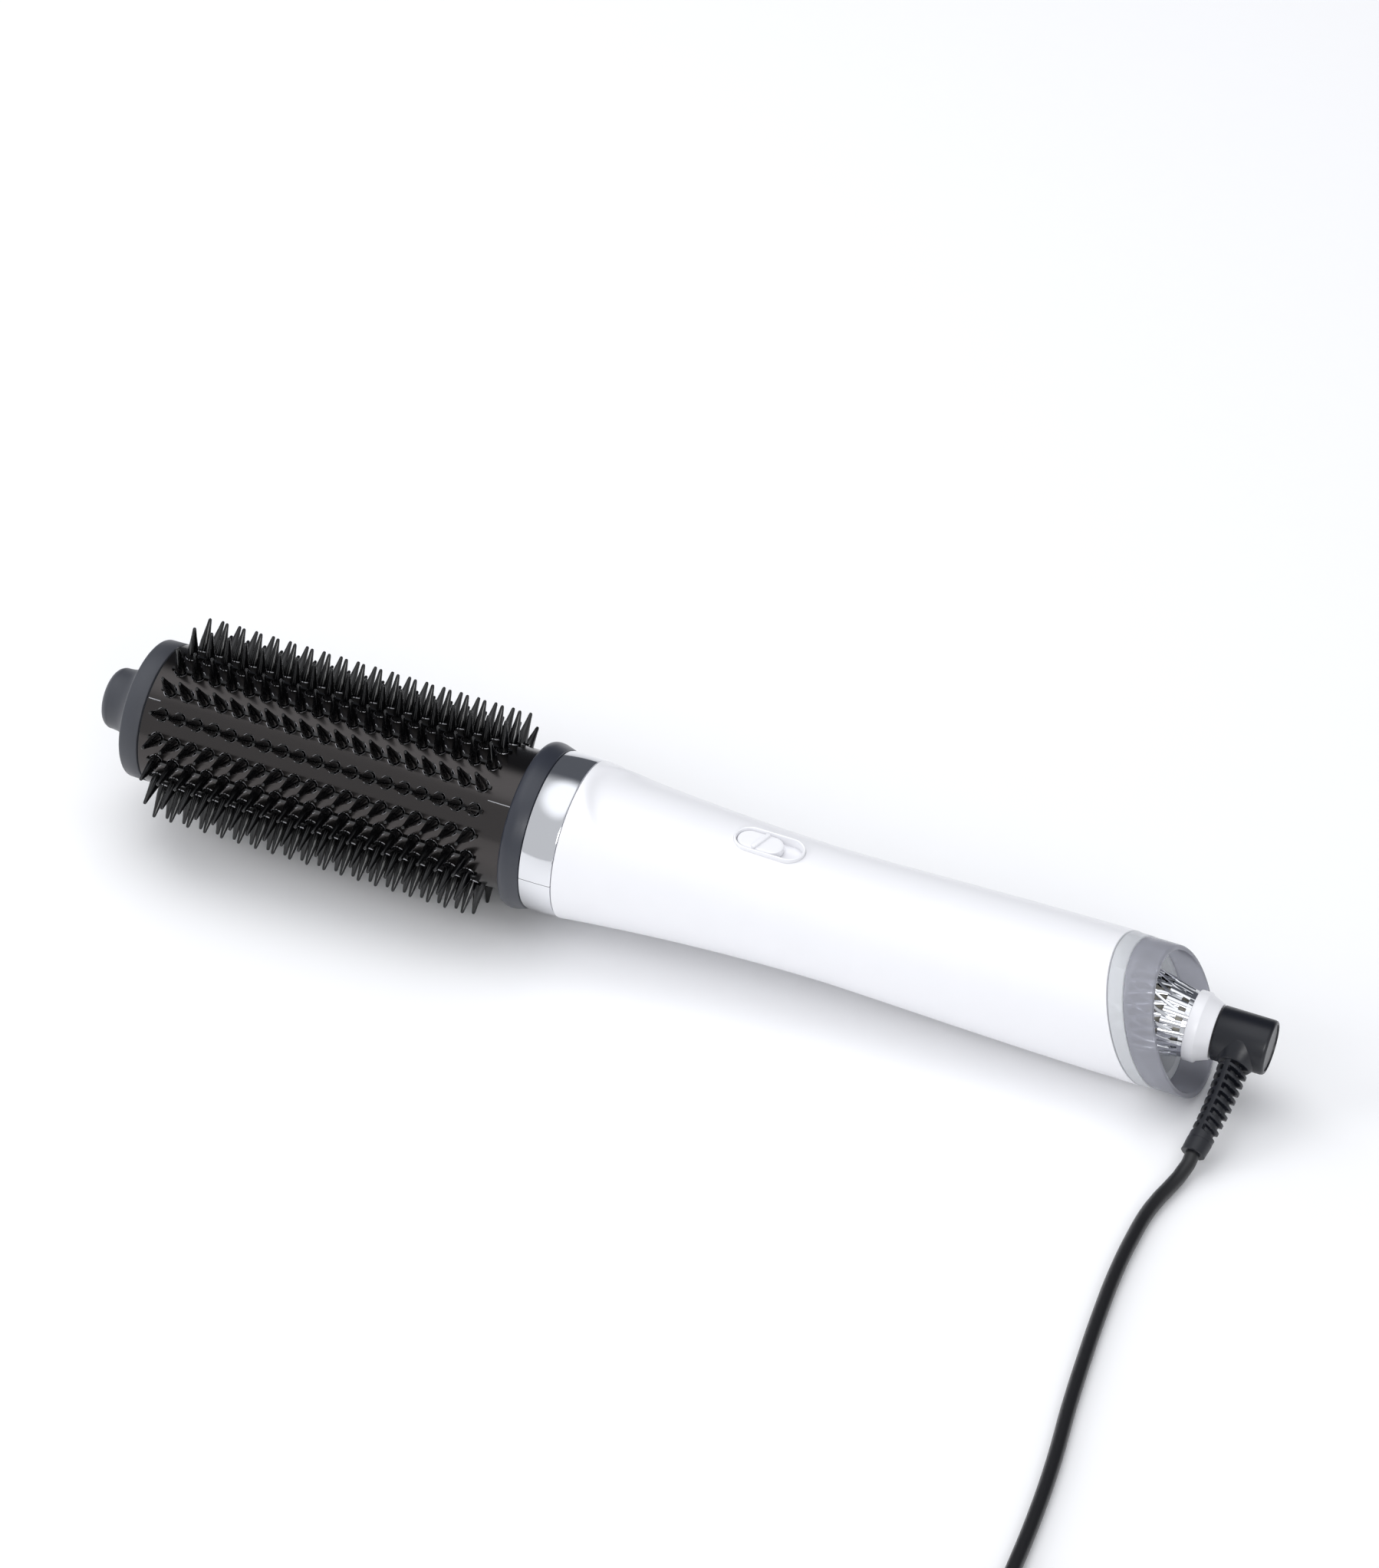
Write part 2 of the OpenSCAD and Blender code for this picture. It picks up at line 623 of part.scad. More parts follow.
module intake_ring() color("#85858d") place() difference() {
    tube_x(handle_len - 20, 60, intake_r, intake_r - 1.6);
    difference() {
        translate([handle_len - 30, -50, -60]) cube([100, 100, 120]);
        behind(handle_len + clear_ring_len);
    }
    behind(rim_x);
}

// ---------- swivel and strain relief ----------

module along_relief() translate([relief_x, 0, 0]) rotate([relief_angle, 0, 0])
    rotate([0, -relief_lean, 0]) children();

module swivel_elbow() color("#1a1a1c") place() difference() {
    flange_r = neck_r + 1.2;
    lathe([
        [collar_plate_x - 10, 0], [collar_plate_x - 10, neck_r - 2], [collar_plate_x - 3, neck_r - 2],
        [collar_plate_x - 3, flange_r], [collar_plate_x - free_gap, flange_r],
        [collar_plate_x - free_gap, neck_r], [elbow_x, neck_r], [elbow_x, elbow_r - 0.3],
        [elbow_x + 0.3, elbow_r], [elbow_end_x - 0.6, elbow_r], [elbow_end_x, elbow_r - 0.6],
        [elbow_end_x, elbow_r - 1.6], [elbow_end_x - 0.5, elbow_r - 1.8], [elbow_end_x - 0.5, 0]
    ]);
    along_relief() translate([0, 0, relief_root]) cylinder(h = 12, r = relief_r0 + run_gap);
}

module slip_rings() color("#b08d57") place() for (x = [8.6, 5.4])
    tube_x(collar_plate_x - x, 1.8, neck_r - 0.6, neck_r - 2);

// Tapered sleeve with open slots on both sides of two straight spines
module strain_relief() color("#161618") place() along_relief() difference() {
    taper_z = 9;
    end_z = relief_len - 5;
    core = cord_r + 0.5;
    spine_w = 1.8;
    rotate_extrude() polygon([
        [0, relief_root], [relief_r0, relief_root], [relief_r0, taper_z], [relief_r1, end_z],
        [relief_r1, relief_len - 0.4], [relief_r1 - 0.4, relief_len], [0, relief_len]
    ]);
    pitch = (end_z - taper_z) / relief_slots;
    difference() {
        for (i = [0 : relief_slots - 1]) for (s = [-1, 1])
            translate([s * (relief_r0 + spine_w) / 2, 0, taper_z + (i + 0.5) * pitch])
                cube([relief_r0, 3 * relief_r0, pitch * 0.5], center = true);
        cylinder(h = relief_len, r = core);
    }
}

// ---------- cord ----------

module cord() color("#1c1c1e") sweep(cord_path, cord_r, 8, turned(relief_dir), [0, -1, 0]);

module cord_coil() color("#1c1c1e") translate(coil_at) rotate_extrude() {
    in_r = coil_mid_r - coil_half;
    out_r = coil_mid_r + coil_half;
    polygon([
        [in_r, coil_edge], [in_r + coil_edge, 0], [out_r - coil_edge, 0], [out_r, coil_edge],
        [out_r, coil_h - coil_edge], [out_r - coil_edge, coil_h], [in_r + coil_edge, coil_h],
        [in_r, coil_h - coil_edge]
    ]);
}

module cord_tail() color("#1c1c1e") sweep(tail_path, cord_r, 8, [0, -1, 0], [-1, 0, 0]);

module cord_tie() color("#2b2b2e") translate(coil_at + [coil_mid_r, 0, 0]) {
    half = coil_half + tie_gap;
    difference() {
        translate([-half - tie_t, -tie_w / 2, -tie_t]) cube([2 * (half + tie_t), tie_w, coil_h + 2 * tie_t]);
        translate([-half, -tie_w, 0]) cube([2 * half, 2 * tie_w, coil_h]);
    }
}

module plug_body() color("#19191b") translate(plug_tip) {
    rotate([0, -90, 0]) cylinder(h = plug_neck_len + 1, r1 = cord_r + 0.8, r2 = 6.5);
    translate([-plug_neck_len - plug_len, 0, 0]) rotate([0, 90, 0]) rotate([0, 0, 90])
        linear_extrude(plug_len) stadium(plug_w, plug_h);
}

module plug_pins() color("#cfd0d2") for (s = [-1, 1])
    translate(plug_tip + [-plug_neck_len - plug_len, s * plug_pin_gap / 2, 0]) rotate([0, -90, 0]) {
        cylinder(h = plug_pin_len - 1, r = plug_pin_d / 2);
        translate([0, 0, plug_pin_len - 1 - eps])
            cylinder(h = 1 + eps, r1 = plug_pin_d / 2, r2 = plug_pin_d / 2 - 1);
    }

tip_cap();
barrel_tube();
bristle_strip(0);  // bristle_strip_01
bristle_strip(1);  // bristle_strip_02
bristle_strip(2);  // bristle_strip_03
bristle_strip(3);  // bristle_strip_04
bristle_strip(4);  // bristle_strip_05
bristle_strip(5);  // bristle_strip_06
bristle_strip(6);  // bristle_strip_07
bristle_strip(7);  // bristle_strip_08
bristle_strip(8);  // bristle_strip_09
bristle_strip(9);  // bristle_strip_10
bristle_strip(10);  // bristle_strip_11
bristle_strip(11);  // bristle_strip_12
bristle_strip(12);  // bristle_strip_13
bristle_strip(13);  // bristle_strip_14
bristle_strip(14);  // bristle_strip_15
bristle_strip(15);  // bristle_strip_16
bristle_strip(16);  // bristle_strip_17
bristle_strip(17);  // bristle_strip_18
comb_core();
heater_frame();
heating_coil();
thermostat();
thermal_fuse();
heat_collar();
trim_ring_upper();
trim_ring_lower();
handle_sleeve();
switch_bezel();
switch_slider();
switch_module();
wiring_board();
air_duct();
fan_housing();
motor_mount();
motor();
rotor_shaft();
fan_wheel();
filter_mesh();
intake_basket();
cord_collar();
contact_block();
clear_ring();
intake_ring();
swivel_elbow();
slip_rings();
strain_relief();
cord();
cord_coil();
cord_tail();
cord_tie();
plug_body();
plug_pins();
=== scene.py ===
"""Looks of a hot air brush: pins, moulded shells, trim, air intake, swivel cord and the studio it lies in."""

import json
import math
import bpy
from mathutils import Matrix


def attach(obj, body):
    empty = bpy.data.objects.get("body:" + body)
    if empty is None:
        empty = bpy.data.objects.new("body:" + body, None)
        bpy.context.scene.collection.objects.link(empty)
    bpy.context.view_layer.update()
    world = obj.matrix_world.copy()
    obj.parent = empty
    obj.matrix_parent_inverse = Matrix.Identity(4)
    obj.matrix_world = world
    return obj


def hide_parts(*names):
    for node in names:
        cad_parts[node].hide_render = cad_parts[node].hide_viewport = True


bl_info = {
    "name": "Hot Air Brush",
    "version": (1, 0, 0),
    "blender": (4, 5, 0),
    "location": "3D View > Sidebar > Hot Air Brush",
    "description": "Builds the visible pieces and finishes of a hot air brush on its CAD frame",
    "category": "Object",
}

import bmesh
import bpy
from bpy.props import FloatProperty, FloatVectorProperty, IntProperty, PointerProperty
from bpy.types import Operator, Panel, PropertyGroup
from mathutils import Matrix, Vector

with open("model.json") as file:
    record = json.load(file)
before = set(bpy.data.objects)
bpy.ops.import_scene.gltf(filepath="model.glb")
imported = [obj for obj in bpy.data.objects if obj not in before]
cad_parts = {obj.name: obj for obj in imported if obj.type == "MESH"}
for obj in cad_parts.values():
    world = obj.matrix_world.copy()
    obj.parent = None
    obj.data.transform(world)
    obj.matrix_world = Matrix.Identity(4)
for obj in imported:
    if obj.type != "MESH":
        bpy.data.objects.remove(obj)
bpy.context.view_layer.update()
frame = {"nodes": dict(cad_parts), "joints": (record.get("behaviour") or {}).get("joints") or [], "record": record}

MM = 0.001
JOINTS = {joint["name"]: joint for joint in frame["joints"]}

# The handle's axis: x runs along it in millimetres from the sleeve's front face, z is up to the switch
SWIVEL_X = 211.5
AXIS = Vector(JOINTS["cord_swivel"]["axis"]).normalized()
TILT = math.atan2(-AXIS.z, AXIS.x)
AXIS_ORIGIN = Vector(JOINTS["cord_swivel"]["pos_m"]) - AXIS * SWIVEL_X * MM
TO_FRAME = Matrix.Translation(AXIS_ORIGIN) @ Matrix.Rotation(TILT, 4, "Y") @ Matrix.Scale(MM, 4)

# The slant of the sleeve's rear end, the clear band and the smoke ring
SLANT = math.radians(23.4)

# Stations and lengths along the axis, in millimetres
BARREL_X = -146.6
COLLAR_X = -18.6
RING_X = -11.4
HANDLE_LEN = 186.3
WAIST_X = 88.0
SWITCH_X = 62.5
CLEAR_X = HANDLE_LEN + 5.3
RIM_X = 201.0
PLATE_X = 203.5
ELBOW_X = 211.8
RELIEF_X = 220.5
BASKET_X = 171.6
FIRST_PIN_GAP = 6.4
MOUTH_X = 16.0
SEAT_X = 126.0
CAP_LEN = 21.2

# Radii of the sleeve, outside and inside, in millimetres
FRONT_R = 26.1
WAIST_R = 21.0
REAR_R = 22.75
MOUTH_BORE_R = 21.75
BORE_R = 18.2
SEAT_BORE_R = 19.4
MOUTH_EDGE = 0.35
MOUTH_LIP = 0.3

# The thumb panel, in millimetres: its lowest height, its arcs along and across, and its soft edge
PANEL_Z = 20.3
PANEL_PAST_WAIST = 5
PANEL_ARC_R = 1300.0
PANEL_CROSS_R = 28.0
PANEL_END_X = 25
PANEL_HALF_WIDTH = 21
PANEL_RUN_OUT = 0.45
PANEL_EASE = 2.2
PANEL_BLEND = 0.7

# Two shallow scoops under the rear end of the sleeve, cut as by a ball, in millimetres and degrees
SCOOP_R = 3.2
SCOOP_ANGLE = 49
SCOOP_BALL_R = 6
SCOOP_BALL_DEPTH = 5

# Radii of the combs, the barrel's holes and seam, and the inside of the collar, in millimetres
RAIL_R = (19.7, 21.5)
WEB_R = (21.4, 24.1)
TAB_R = (23.0, 24.0)
HOLE_FOOT_R = 23.0
SEAM_R = 23.42
INNER_R = 22.0

# Half widths of a comb's web, rail and tabs, in millimetres
WEB_HALF = 0.5
RAIL_HALF = 2.2
TAB_HALF = (0.6, 2.35)

# Where the barrel's seam runs, in degrees from the top
SEAM_ANGLE = 40.0

# The switch: length and width of its oval window, rim, floor, slider and ridge, in millimetres
WINDOW = (23.6, 11.1)
SWITCH_RIM = (23.5, 11.0)
SWITCH_FLOOR = (21.9, 9.4)
SLIDER = (15.2, 8.2)
RIDGE = (8.6, 1.7)
RIDGE_ANGLE = math.radians(72)
SLIDER_SHIFT = 3

# The grille: rib widths and depths, in millimetres, and the turn of a sweep, in degrees
RIB = (2.2, 1.2)
SWEEP_WIDTHS = {-1: 1.2, 1: 1.6}
SWEEP_DEPTH = 1.0
SWEEP_START = 0.6
SWEEP_LEN = 27.5
SWEEP_TURN = 60.0
SWEEP_STEPS = 12
GRILLE_HOOP = 1.3

# The free cord: its route on the floor and from the coil to the plug, in metres
CORD_ROUTE = [
    (0.1822, -0.0520, 0.0023), (0.1808, -0.0620, 0.0023), (0.1799, -0.0760, 0.0023),
    (0.1800, -0.0920, 0.0023), (0.1810, -0.1080, 0.0023), (0.1826, -0.1260, 0.0023),
    (0.1850, -0.1480, 0.0023), (0.1880, -0.1700, 0.0023), (0.1900, -0.1920, 0.0023),
    (0.1910, -0.2140, 0.0023), (0.1914, -0.2320, 0.0023), (0.1914, -0.2400, 0.0025),
]
TAIL_ROUTE = [
    (0.1930, -0.2820, 0.0158), (0.1935, -0.2900, 0.0134), (0.1925, -0.2980, 0.0108),
    (0.1890, -0.3060, 0.0086), (0.1830, -0.3120, 0.0076), (0.1750, -0.3150, 0.0078),
    (0.1670, -0.3160, 0.0086), (0.1590, -0.3160, 0.0096), (0.1500, -0.3160, 0.0100),
]
COIL_CENTRE = (0.2245, -0.2680)
COIL_RADII = (0.0331, 0.02835, 0.0236, 0.01885)
COIL_LEVELS = (0.0032, 0.0079, 0.0126, 0.0173)
COIL_START = (0.1914, -0.2560, 0.0030)
TURN_POINTS = 24

# The strain relief, in millimetres: its length and radii, and how far the cord runs straight on past it
CORD_LEAD = 4
RELIEF_LEN = 41.0
RELIEF_WIDE_R = 4.95
RELIEF_NARROW_R = 3.9
RELIEF_CORE_R = 3.0
RELIEF_BOW = 0.9
SLOT_LEAN = 1.5

# Its turn down from the axis, its sideways lean and the turn of its spines, in radians
RELIEF_ANGLE = math.radians(114.0)
RELIEF_LEAN = math.radians(4.0)
SPINE_TWIST = 0.35

# A slot's half width and soft edge, as parts of a pitch, and where a spine ends, as a cosine
SLOT_HALF = 0.31
SLOT_EDGE = 0.08
SPINE_EDGE = 0.2


# ---------- small helpers ----------

def linear(hex_colour):
    """sRGB hex text to a linear RGBA colour."""
    channels = [int(hex_colour[i:i + 2], 16) / 255 for i in (1, 3, 5)]
    return (*(c / 12.92 if c <= 0.04045 else ((c + 0.055) / 1.055) ** 2.4 for c in channels), 1.0)


def add(tree, kind, settings=None, values=None, links=None):
    """Adds a node, sets its attributes and socket values, and links sockets into it."""
    node = tree.nodes.new(kind)
    for name, value in (settings or {}).items():
        setattr(node, name, value)
    for name, value in (values or {}).items():
        node.inputs[name].default_value = value
    for name, socket in (links or {}).items():
        tree.links.new(socket, node.inputs[name])
    return node


def smooth(mesh, angle=35.0):
    """Smooth shading with edges sharper than the angle kept crisp."""
    mesh.shade_smooth()
    mesh.set_sharp_from_angle(angle=math.radians(angle))


def piece_from(name, mesh, material, body, nodes=()):
    """Wraps a finished mesh as a piece that rides on a body and stands for CAD nodes."""
    piece = bpy.data.objects.new(name, mesh)
    bpy.context.scene.collection.objects.link(piece)
    if material and not mesh.materials:
        mesh.materials.append(material)
    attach(piece, body)
    if nodes:
        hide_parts(*nodes)
    return piece


def mesh_from(name, points, faces, matrix=TO_FRAME):
    """A mesh from points in axis millimetres, set in the frame with its faces outwards."""
    work = bmesh.new()
    vertices = [work.verts.new(p) for p in points]
    for face in faces:
        work.faces.new([vertices[i] for i in face])
    bmesh.ops.remove_doubles(work, verts=work.verts, dist=1e-4)
    bmesh.ops.recalc_face_normals(work, faces=work.faces)
    mesh = bpy.data.meshes.new(name)
    work.to_mesh(mesh)
    work.free()
    mesh.transform(matrix)
    return mesh


def eased(points, steps=6):
    """Catmull-Rom points through a profile, for a stretch without corners."""
    out = []
    ends = [points[0], *points, points[-1]]
    for a, b, c, d in zip(ends, ends[1:], ends[2:], ends[3:]):
        for k in range(steps):
            t = k / steps
            out.append(tuple(
                0.5 * (2 * q + (r - p) * t + (2 * p - 5 * q + 4 * r - s) * t * t
                       + (3 * q - p - 3 * r + s) * t ** 3)
                for p, q, r, s in zip(a, b, c, d)))
    return [*out, points[-1]]


def rounded(x, r, radius, start, end, steps=5):
    """Points of an arc about (x, r) from one angle to another, in degrees from +x."""
    return [
        (x + radius * math.cos(math.radians(start + (end - start) * k / steps)),
         r + radius * math.sin(math.radians(start + (end - start) * k / steps)))
        for k in range(steps + 1)]


def lathe(name, profile, segments=128, closed=True, shear=0.0, matrix=TO_FRAME, span=None):
    """Turns a profile of (x, r) about the axis, whole or over a span of degrees from the top.

    shear moves each point along the axis by -z times itself, for ends cut at a slant."""
    first, last = (math.radians(a) for a in span or (0, 360))
    steps = segments if span is None else segments + 1
    points = []
    for x, r in profile:
        for k in range(steps):
            a = first + (last - first) * k / segments
            y, z = -r * math.sin(a), r * math.cos(a)
            points.append((x - z * shear, y, z))
    count = len(profile)
    faces = []
    for i in range(count if closed else count - 1):
        j = (i + 1) % count
        for k in range(segments):
            n = (k + 1) % steps
            faces.append((i * steps + k, i * steps + n, j * steps + n, j * steps + k))
    if span:
        faces += [[i * steps for i in range(count)], [i * steps + segments for i in range(count)]]
    return mesh_from(name, points, faces, matrix)


def ring(x, r, around):
    """Points round the axis at a station, from the top."""
    turns = [2 * math.pi * k / around for k in range(around)]
    return [(x, -r * math.sin(a), r * math.cos(a)) for a in turns]


def band(a, b, around):
    """Quads between two rings of points, given by their first indices."""
    return [(a + k, a + (k + 1) % around, b + (k + 1) % around, b + k) for k in range(around)]


def grid_faces(rings, around):
    """Quads between rings of points that follow one another."""
    return [face for i in range(rings - 1) for face in band(i * around, (i + 1) * around, around)]


def joined(name, *meshes):
    """Several meshes as one."""
    work = bmesh.new()
    for mesh in meshes:
        work.from_mesh(mesh)
        bpy.data.meshes.remove(mesh)
    mesh = bpy.data.meshes.new(name)
    work.to_mesh(mesh)
    work.free()
    return mesh


def stadium_point(a, length, width, offset):
    """A point at an angle round a shape with round ends, moved outwards by an offset."""
    reach = width / 2 + offset
    x = math.cos(a) * reach
    return x + math.copysign((length - width) / 2, math.cos(a)), math.sin(a) * reach


def stadium_ring(name, length, width, profile, middle, closed=True, around=96):
    """Carries a profile of (offset, z) round a shape with round ends."""
    points = []
    for offset, z in profile:
        for k in range(around):
            x, y = stadium_point(2 * math.pi * (k + 0.5) / around, length, width, offset)
            points.append((x + middle, y, z))
    faces = grid_faces(len(profile), around)
    last = (len(profile) - 1) * around
    if closed:
        faces += band(last, 0, around)
    else:
        faces += [list(range(around)), list(range(last, last + around))]
    return mesh_from(name, points, faces)


def bar(name, path, width, depth):
    """A flat bar along a path of (x, r, degrees round the axis), its face turned outwards."""
    section = ((-0.5, -1), (0.5, -1), (0.5, -0.25), (0.3, 0), (-0.3, 0), (-0.5, -0.25))
    points = []
    for x, r, degrees in path:
        a = math.radians(degrees)
        out, across = Vector((0, -math.sin(a), math.cos(a))), Vector((0, math.cos(a), math.sin(a)))
        middle = Vector((x, 0, 0)) + out * r
        points += [middle + across * width * u + out * depth * v for u, v in section]
    sides, count = len(section), len(points)
    faces = grid_faces(len(path), sides) + [list(range(sides)), list(range(count - sides, count))]
    return mesh_from(name, points, faces, Matrix.Identity(4))


def turned_copies(name, template, material, around, phase=0.0, along=1, step=0.0, start=0.0):
    """Copies of a template in a line along the axis and then round it, as one mesh in the frame."""
    tree = bpy.data.node_groups.new(name, "GeometryNodeTree")
    kinds = {"Template": "Geometry", "Along": "Int", "Step": "Float", "Start": "Float",
             "Around": "Int", "Phase": "Float", "Material": "Material"}
    for label, kind in kinds.items():
        tree.interface.new_socket(label, in_out="INPUT", socket_type="NodeSocket" + kind)
    tree.interface.new_socket("Copies", in_out="OUTPUT", socket_type="NodeSocketGeometry")
    given = add(tree, "NodeGroupInput").outputs
    offset = add(tree, "ShaderNodeCombineXYZ", links={"X": given["Step"]})
    begin = add(tree, "ShaderNodeCombineXYZ", links={"X": given["Start"]})
    line = add(tree, "GeometryNodeMeshLine", links={
        "Count": given["Along"], "Start Location": begin.outputs["Vector"],
        "Offset": offset.outputs["Vector"]})
    row = add(tree, "GeometryNodeInstanceOnPoints", links={
        "Points": line.outputs["Mesh"], "Instance": given["Template"]})
    hub = add(tree, "GeometryNodeMeshLine", values={"Offset": (0.0, 0.0, 0.0)},
              links={"Count": given["Around"]})
    place = add(tree, "ShaderNodeMath", {"operation": "ADD"}, links={
        0: add(tree, "GeometryNodeInputIndex").outputs["Index"], 1: given["Phase"]})
    turn = add(tree, "ShaderNodeMath", {"operation": "DIVIDE"}, links={
        0: place.outputs[0], 1: given["Around"]})
    angle = add(tree, "ShaderNodeMath", {"operation": "MULTIPLY"}, {1: 2 * math.pi}, {0: turn.outputs[0]})
    turned = add(tree, "ShaderNodeCombineXYZ", links={"X": angle.outputs[0]})
    copies = add(tree, "GeometryNodeInstanceOnPoints", links={
        "Points": hub.outputs["Mesh"], "Instance": row.outputs["Instances"],
        "Rotation": turned.outputs["Vector"]})
    real = add(tree, "GeometryNodeRealizeInstances", links={"Geometry": copies.outputs["Instances"]})
    painted = add(tree, "GeometryNodeSetMaterial", links={
        "Geometry": real.outputs["Geometry"], "Material": given["Material"]})
    add(tree, "NodeGroupOutput", links={"Copies": painted.outputs["Geometry"]})
    holder = bpy.data.objects.new(name, template)
    bpy.context.scene.collection.objects.link(holder)
    modifier = holder.modifiers.new(name, "NODES")
    modifier.node_group = tree
    inputs = {"Along": along, "Step": float(step), "Start": float(start), "Around": around,
              "Phase": float(phase), "Material": material}
    for socket in tree.interface.items_tree:
        if socket.name in inputs:
            modifier[socket.identifier] = inputs[socket.name]
    mesh = bpy.data.meshes.new_from_object(holder.evaluated_get(bpy.context.evaluated_depsgraph_get()))
    bpy.data.objects.remove(holder)
    mesh.transform(TO_FRAME)
    return mesh


# ---------- sizes and colours ----------

class BrushSizes(PropertyGroup):
    """Sizes of the pieces that repeat."""

    pin_rows: IntProperty(
        name="Pin rows", description="Combs round the barrel", default=18, min=6, max=30)
    pins_per_row: IntProperty(
        name="Pins per row", description="Pins along one comb", default=19, min=5, max=40)
    pin_pitch: FloatProperty(
        name="Pin pitch", description="Pin to pin, millimetres", default=6.1, min=4, max=9)
    pin_circle: FloatProperty(
        name="Pin circle", description="Radius to the pin tips, millimetres", default=34.2)
    pin_base: FloatProperty(
        name="Pin base", description="Radius of a pin at the barrel, millimetres", default=1.9)
    pin_tip: FloatProperty(
        name="Pin tip", description="Radius of a pin's round end, millimetres", default=0.65)
    basket_ribs: IntProperty(
        name="Basket ribs", description="Straight ribs of the grille", default=20, min=8, max=60)
    relief_rings: IntProperty(
        name="Relief rings", description="Rings of the strain relief", default=9, min=4, max=16)
    cord_diameter: FloatProperty(
        name="Cord diameter", description="Across the mains cord", default=0.0046, unit="LENGTH",
        subtype="DISTANCE")


class BrushColours(PropertyGroup):
    """Colours of the shells and the barrel."""

    body: FloatVectorProperty(
        name="Body", description="Satin white shell", subtype="COLOR", size=4, default=linear("#eeeef1"))
    cap: FloatVectorProperty(
        name="Cap", description="Soft-touch tip cap", subtype="COLOR", size=4, default=linear("#3d3f45"))
    barrel: FloatVectorProperty(
        name="Barrel", description="Dark anodised barrel", subtype="COLOR", size=4, default=linear("#4a4746"))
    smoke: FloatVectorProperty(
        name="Smoke", description="Intake ring", subtype="COLOR", size=4, default=linear("#c3c4cc"))


# ---------- materials ----------

def material_shell(name):
    """An empty material, its tree, its output and the place on the piece."""
    material = bpy.data.materials.new(name)
    material.use_nodes = True
    tree = material.node_tree
    tree.nodes.clear()
    output = add(tree, "ShaderNodeOutputMaterial")
    place = add(tree, "ShaderNodeTexCoord").outputs["Object"]
    return material, tree, output, place


def moulded(name, colour, roughness, grain_mm, bump, metallic=0.0, spread=0.06, values=None):
    """A surface with cloudy colour, uneven gloss and a fine grain of a real size."""
    material, tree, output, place = material_shell(name)
    cloud = add(tree, "ShaderNodeTexNoise", values={"Scale": 90.0, "Detail": 3.0}, links={"Vector": place})
    grain = add(tree, "ShaderNodeTexNoise", values={"Scale": 1000 / grain_mm, "Detail": 2.0},
                links={"Vector": place})
    tint = add(tree, "ShaderNodeMapRange", values={"To Min": 1 - spread, "To Max": 1 + spread},
               links={"Value": cloud.outputs["Fac"]})
    shade = add(tree, "ShaderNodeVectorMath", {"operation": "SCALE"}, {0: colour[:3]},
                {"Scale": tint.outputs["Result"]})
    gloss = add(tree, "ShaderNodeMapRange", values={"To Min": roughness * 0.85, "To Max": roughness * 1.15},
                links={"Value": grain.outputs["Fac"]})
    relief = add(tree, "ShaderNodeBump", values={"Strength": bump, "Distance": grain_mm * MM * 0.25},
                 links={"Height": grain.outputs["Fac"]})
    surface = add(tree, "ShaderNodeBsdfPrincipled", values={"Metallic": metallic, **(values or {})}, links={
        "Base Color": shade.outputs["Vector"], "Roughness": gloss.outputs["Result"],
        "Normal": relief.outputs["Normal"]})
    tree.links.new(surface.outputs["BSDF"], output.inputs["Surface"])
    return material


def drawn_metal(name, colour, roughness, line_mm, bump, values=None):
    """A metal with fine lines along the axis, as drawing or brushing leaves."""
    material, tree, output, place = material_shell(name)
    stretch = add(tree, "ShaderNodeMapping", values={"Rotation": (0.0, -TILT, 0.0), "Scale": (0.06, 1.0, 1.0)},
                  links={"Vector": place})
    lines = add(tree, "ShaderNodeTexNoise", values={"Scale": 1000 / line_mm, "Detail": 4.0},
                links={"Vector": stretch.outputs["Vector"]})
    cloud = add(tree, "ShaderNodeTexNoise", values={"Scale": 60.0, "Detail": 2.0}, links={"Vector": place})
    tint = add(tree, "ShaderNodeMapRange", values={"To Min": 0.9, "To Max": 1.1},
               links={"Value": lines.outputs["Fac"]})
    shade = add(tree, "ShaderNodeVectorMath", {"operation": "SCALE"}, {0: colour[:3]},
                {"Scale": tint.outputs["Result"]})
    gloss = add(tree, "ShaderNodeMapRange", values={"To Min": roughness * 0.7, "To Max": roughness * 1.3},
                links={"Value": cloud.outputs["Fac"]})
    relief = add(tree, "ShaderNodeBump", values={"Strength": bump, "Distance": line_mm * MM * 0.2},
                 links={"Height": lines.outputs["Fac"]})
    surface = add(tree, "ShaderNodeBsdfPrincipled", values={"Metallic": 1.0, **(values or {})}, links={
        "Base Color": shade.outputs["Vector"], "Roughness": gloss.outputs["Result"],
        "Normal": relief.outputs["Normal"]})
    tree.links.new(surface.outputs["BSDF"], output.inputs["Surface"])
    return material


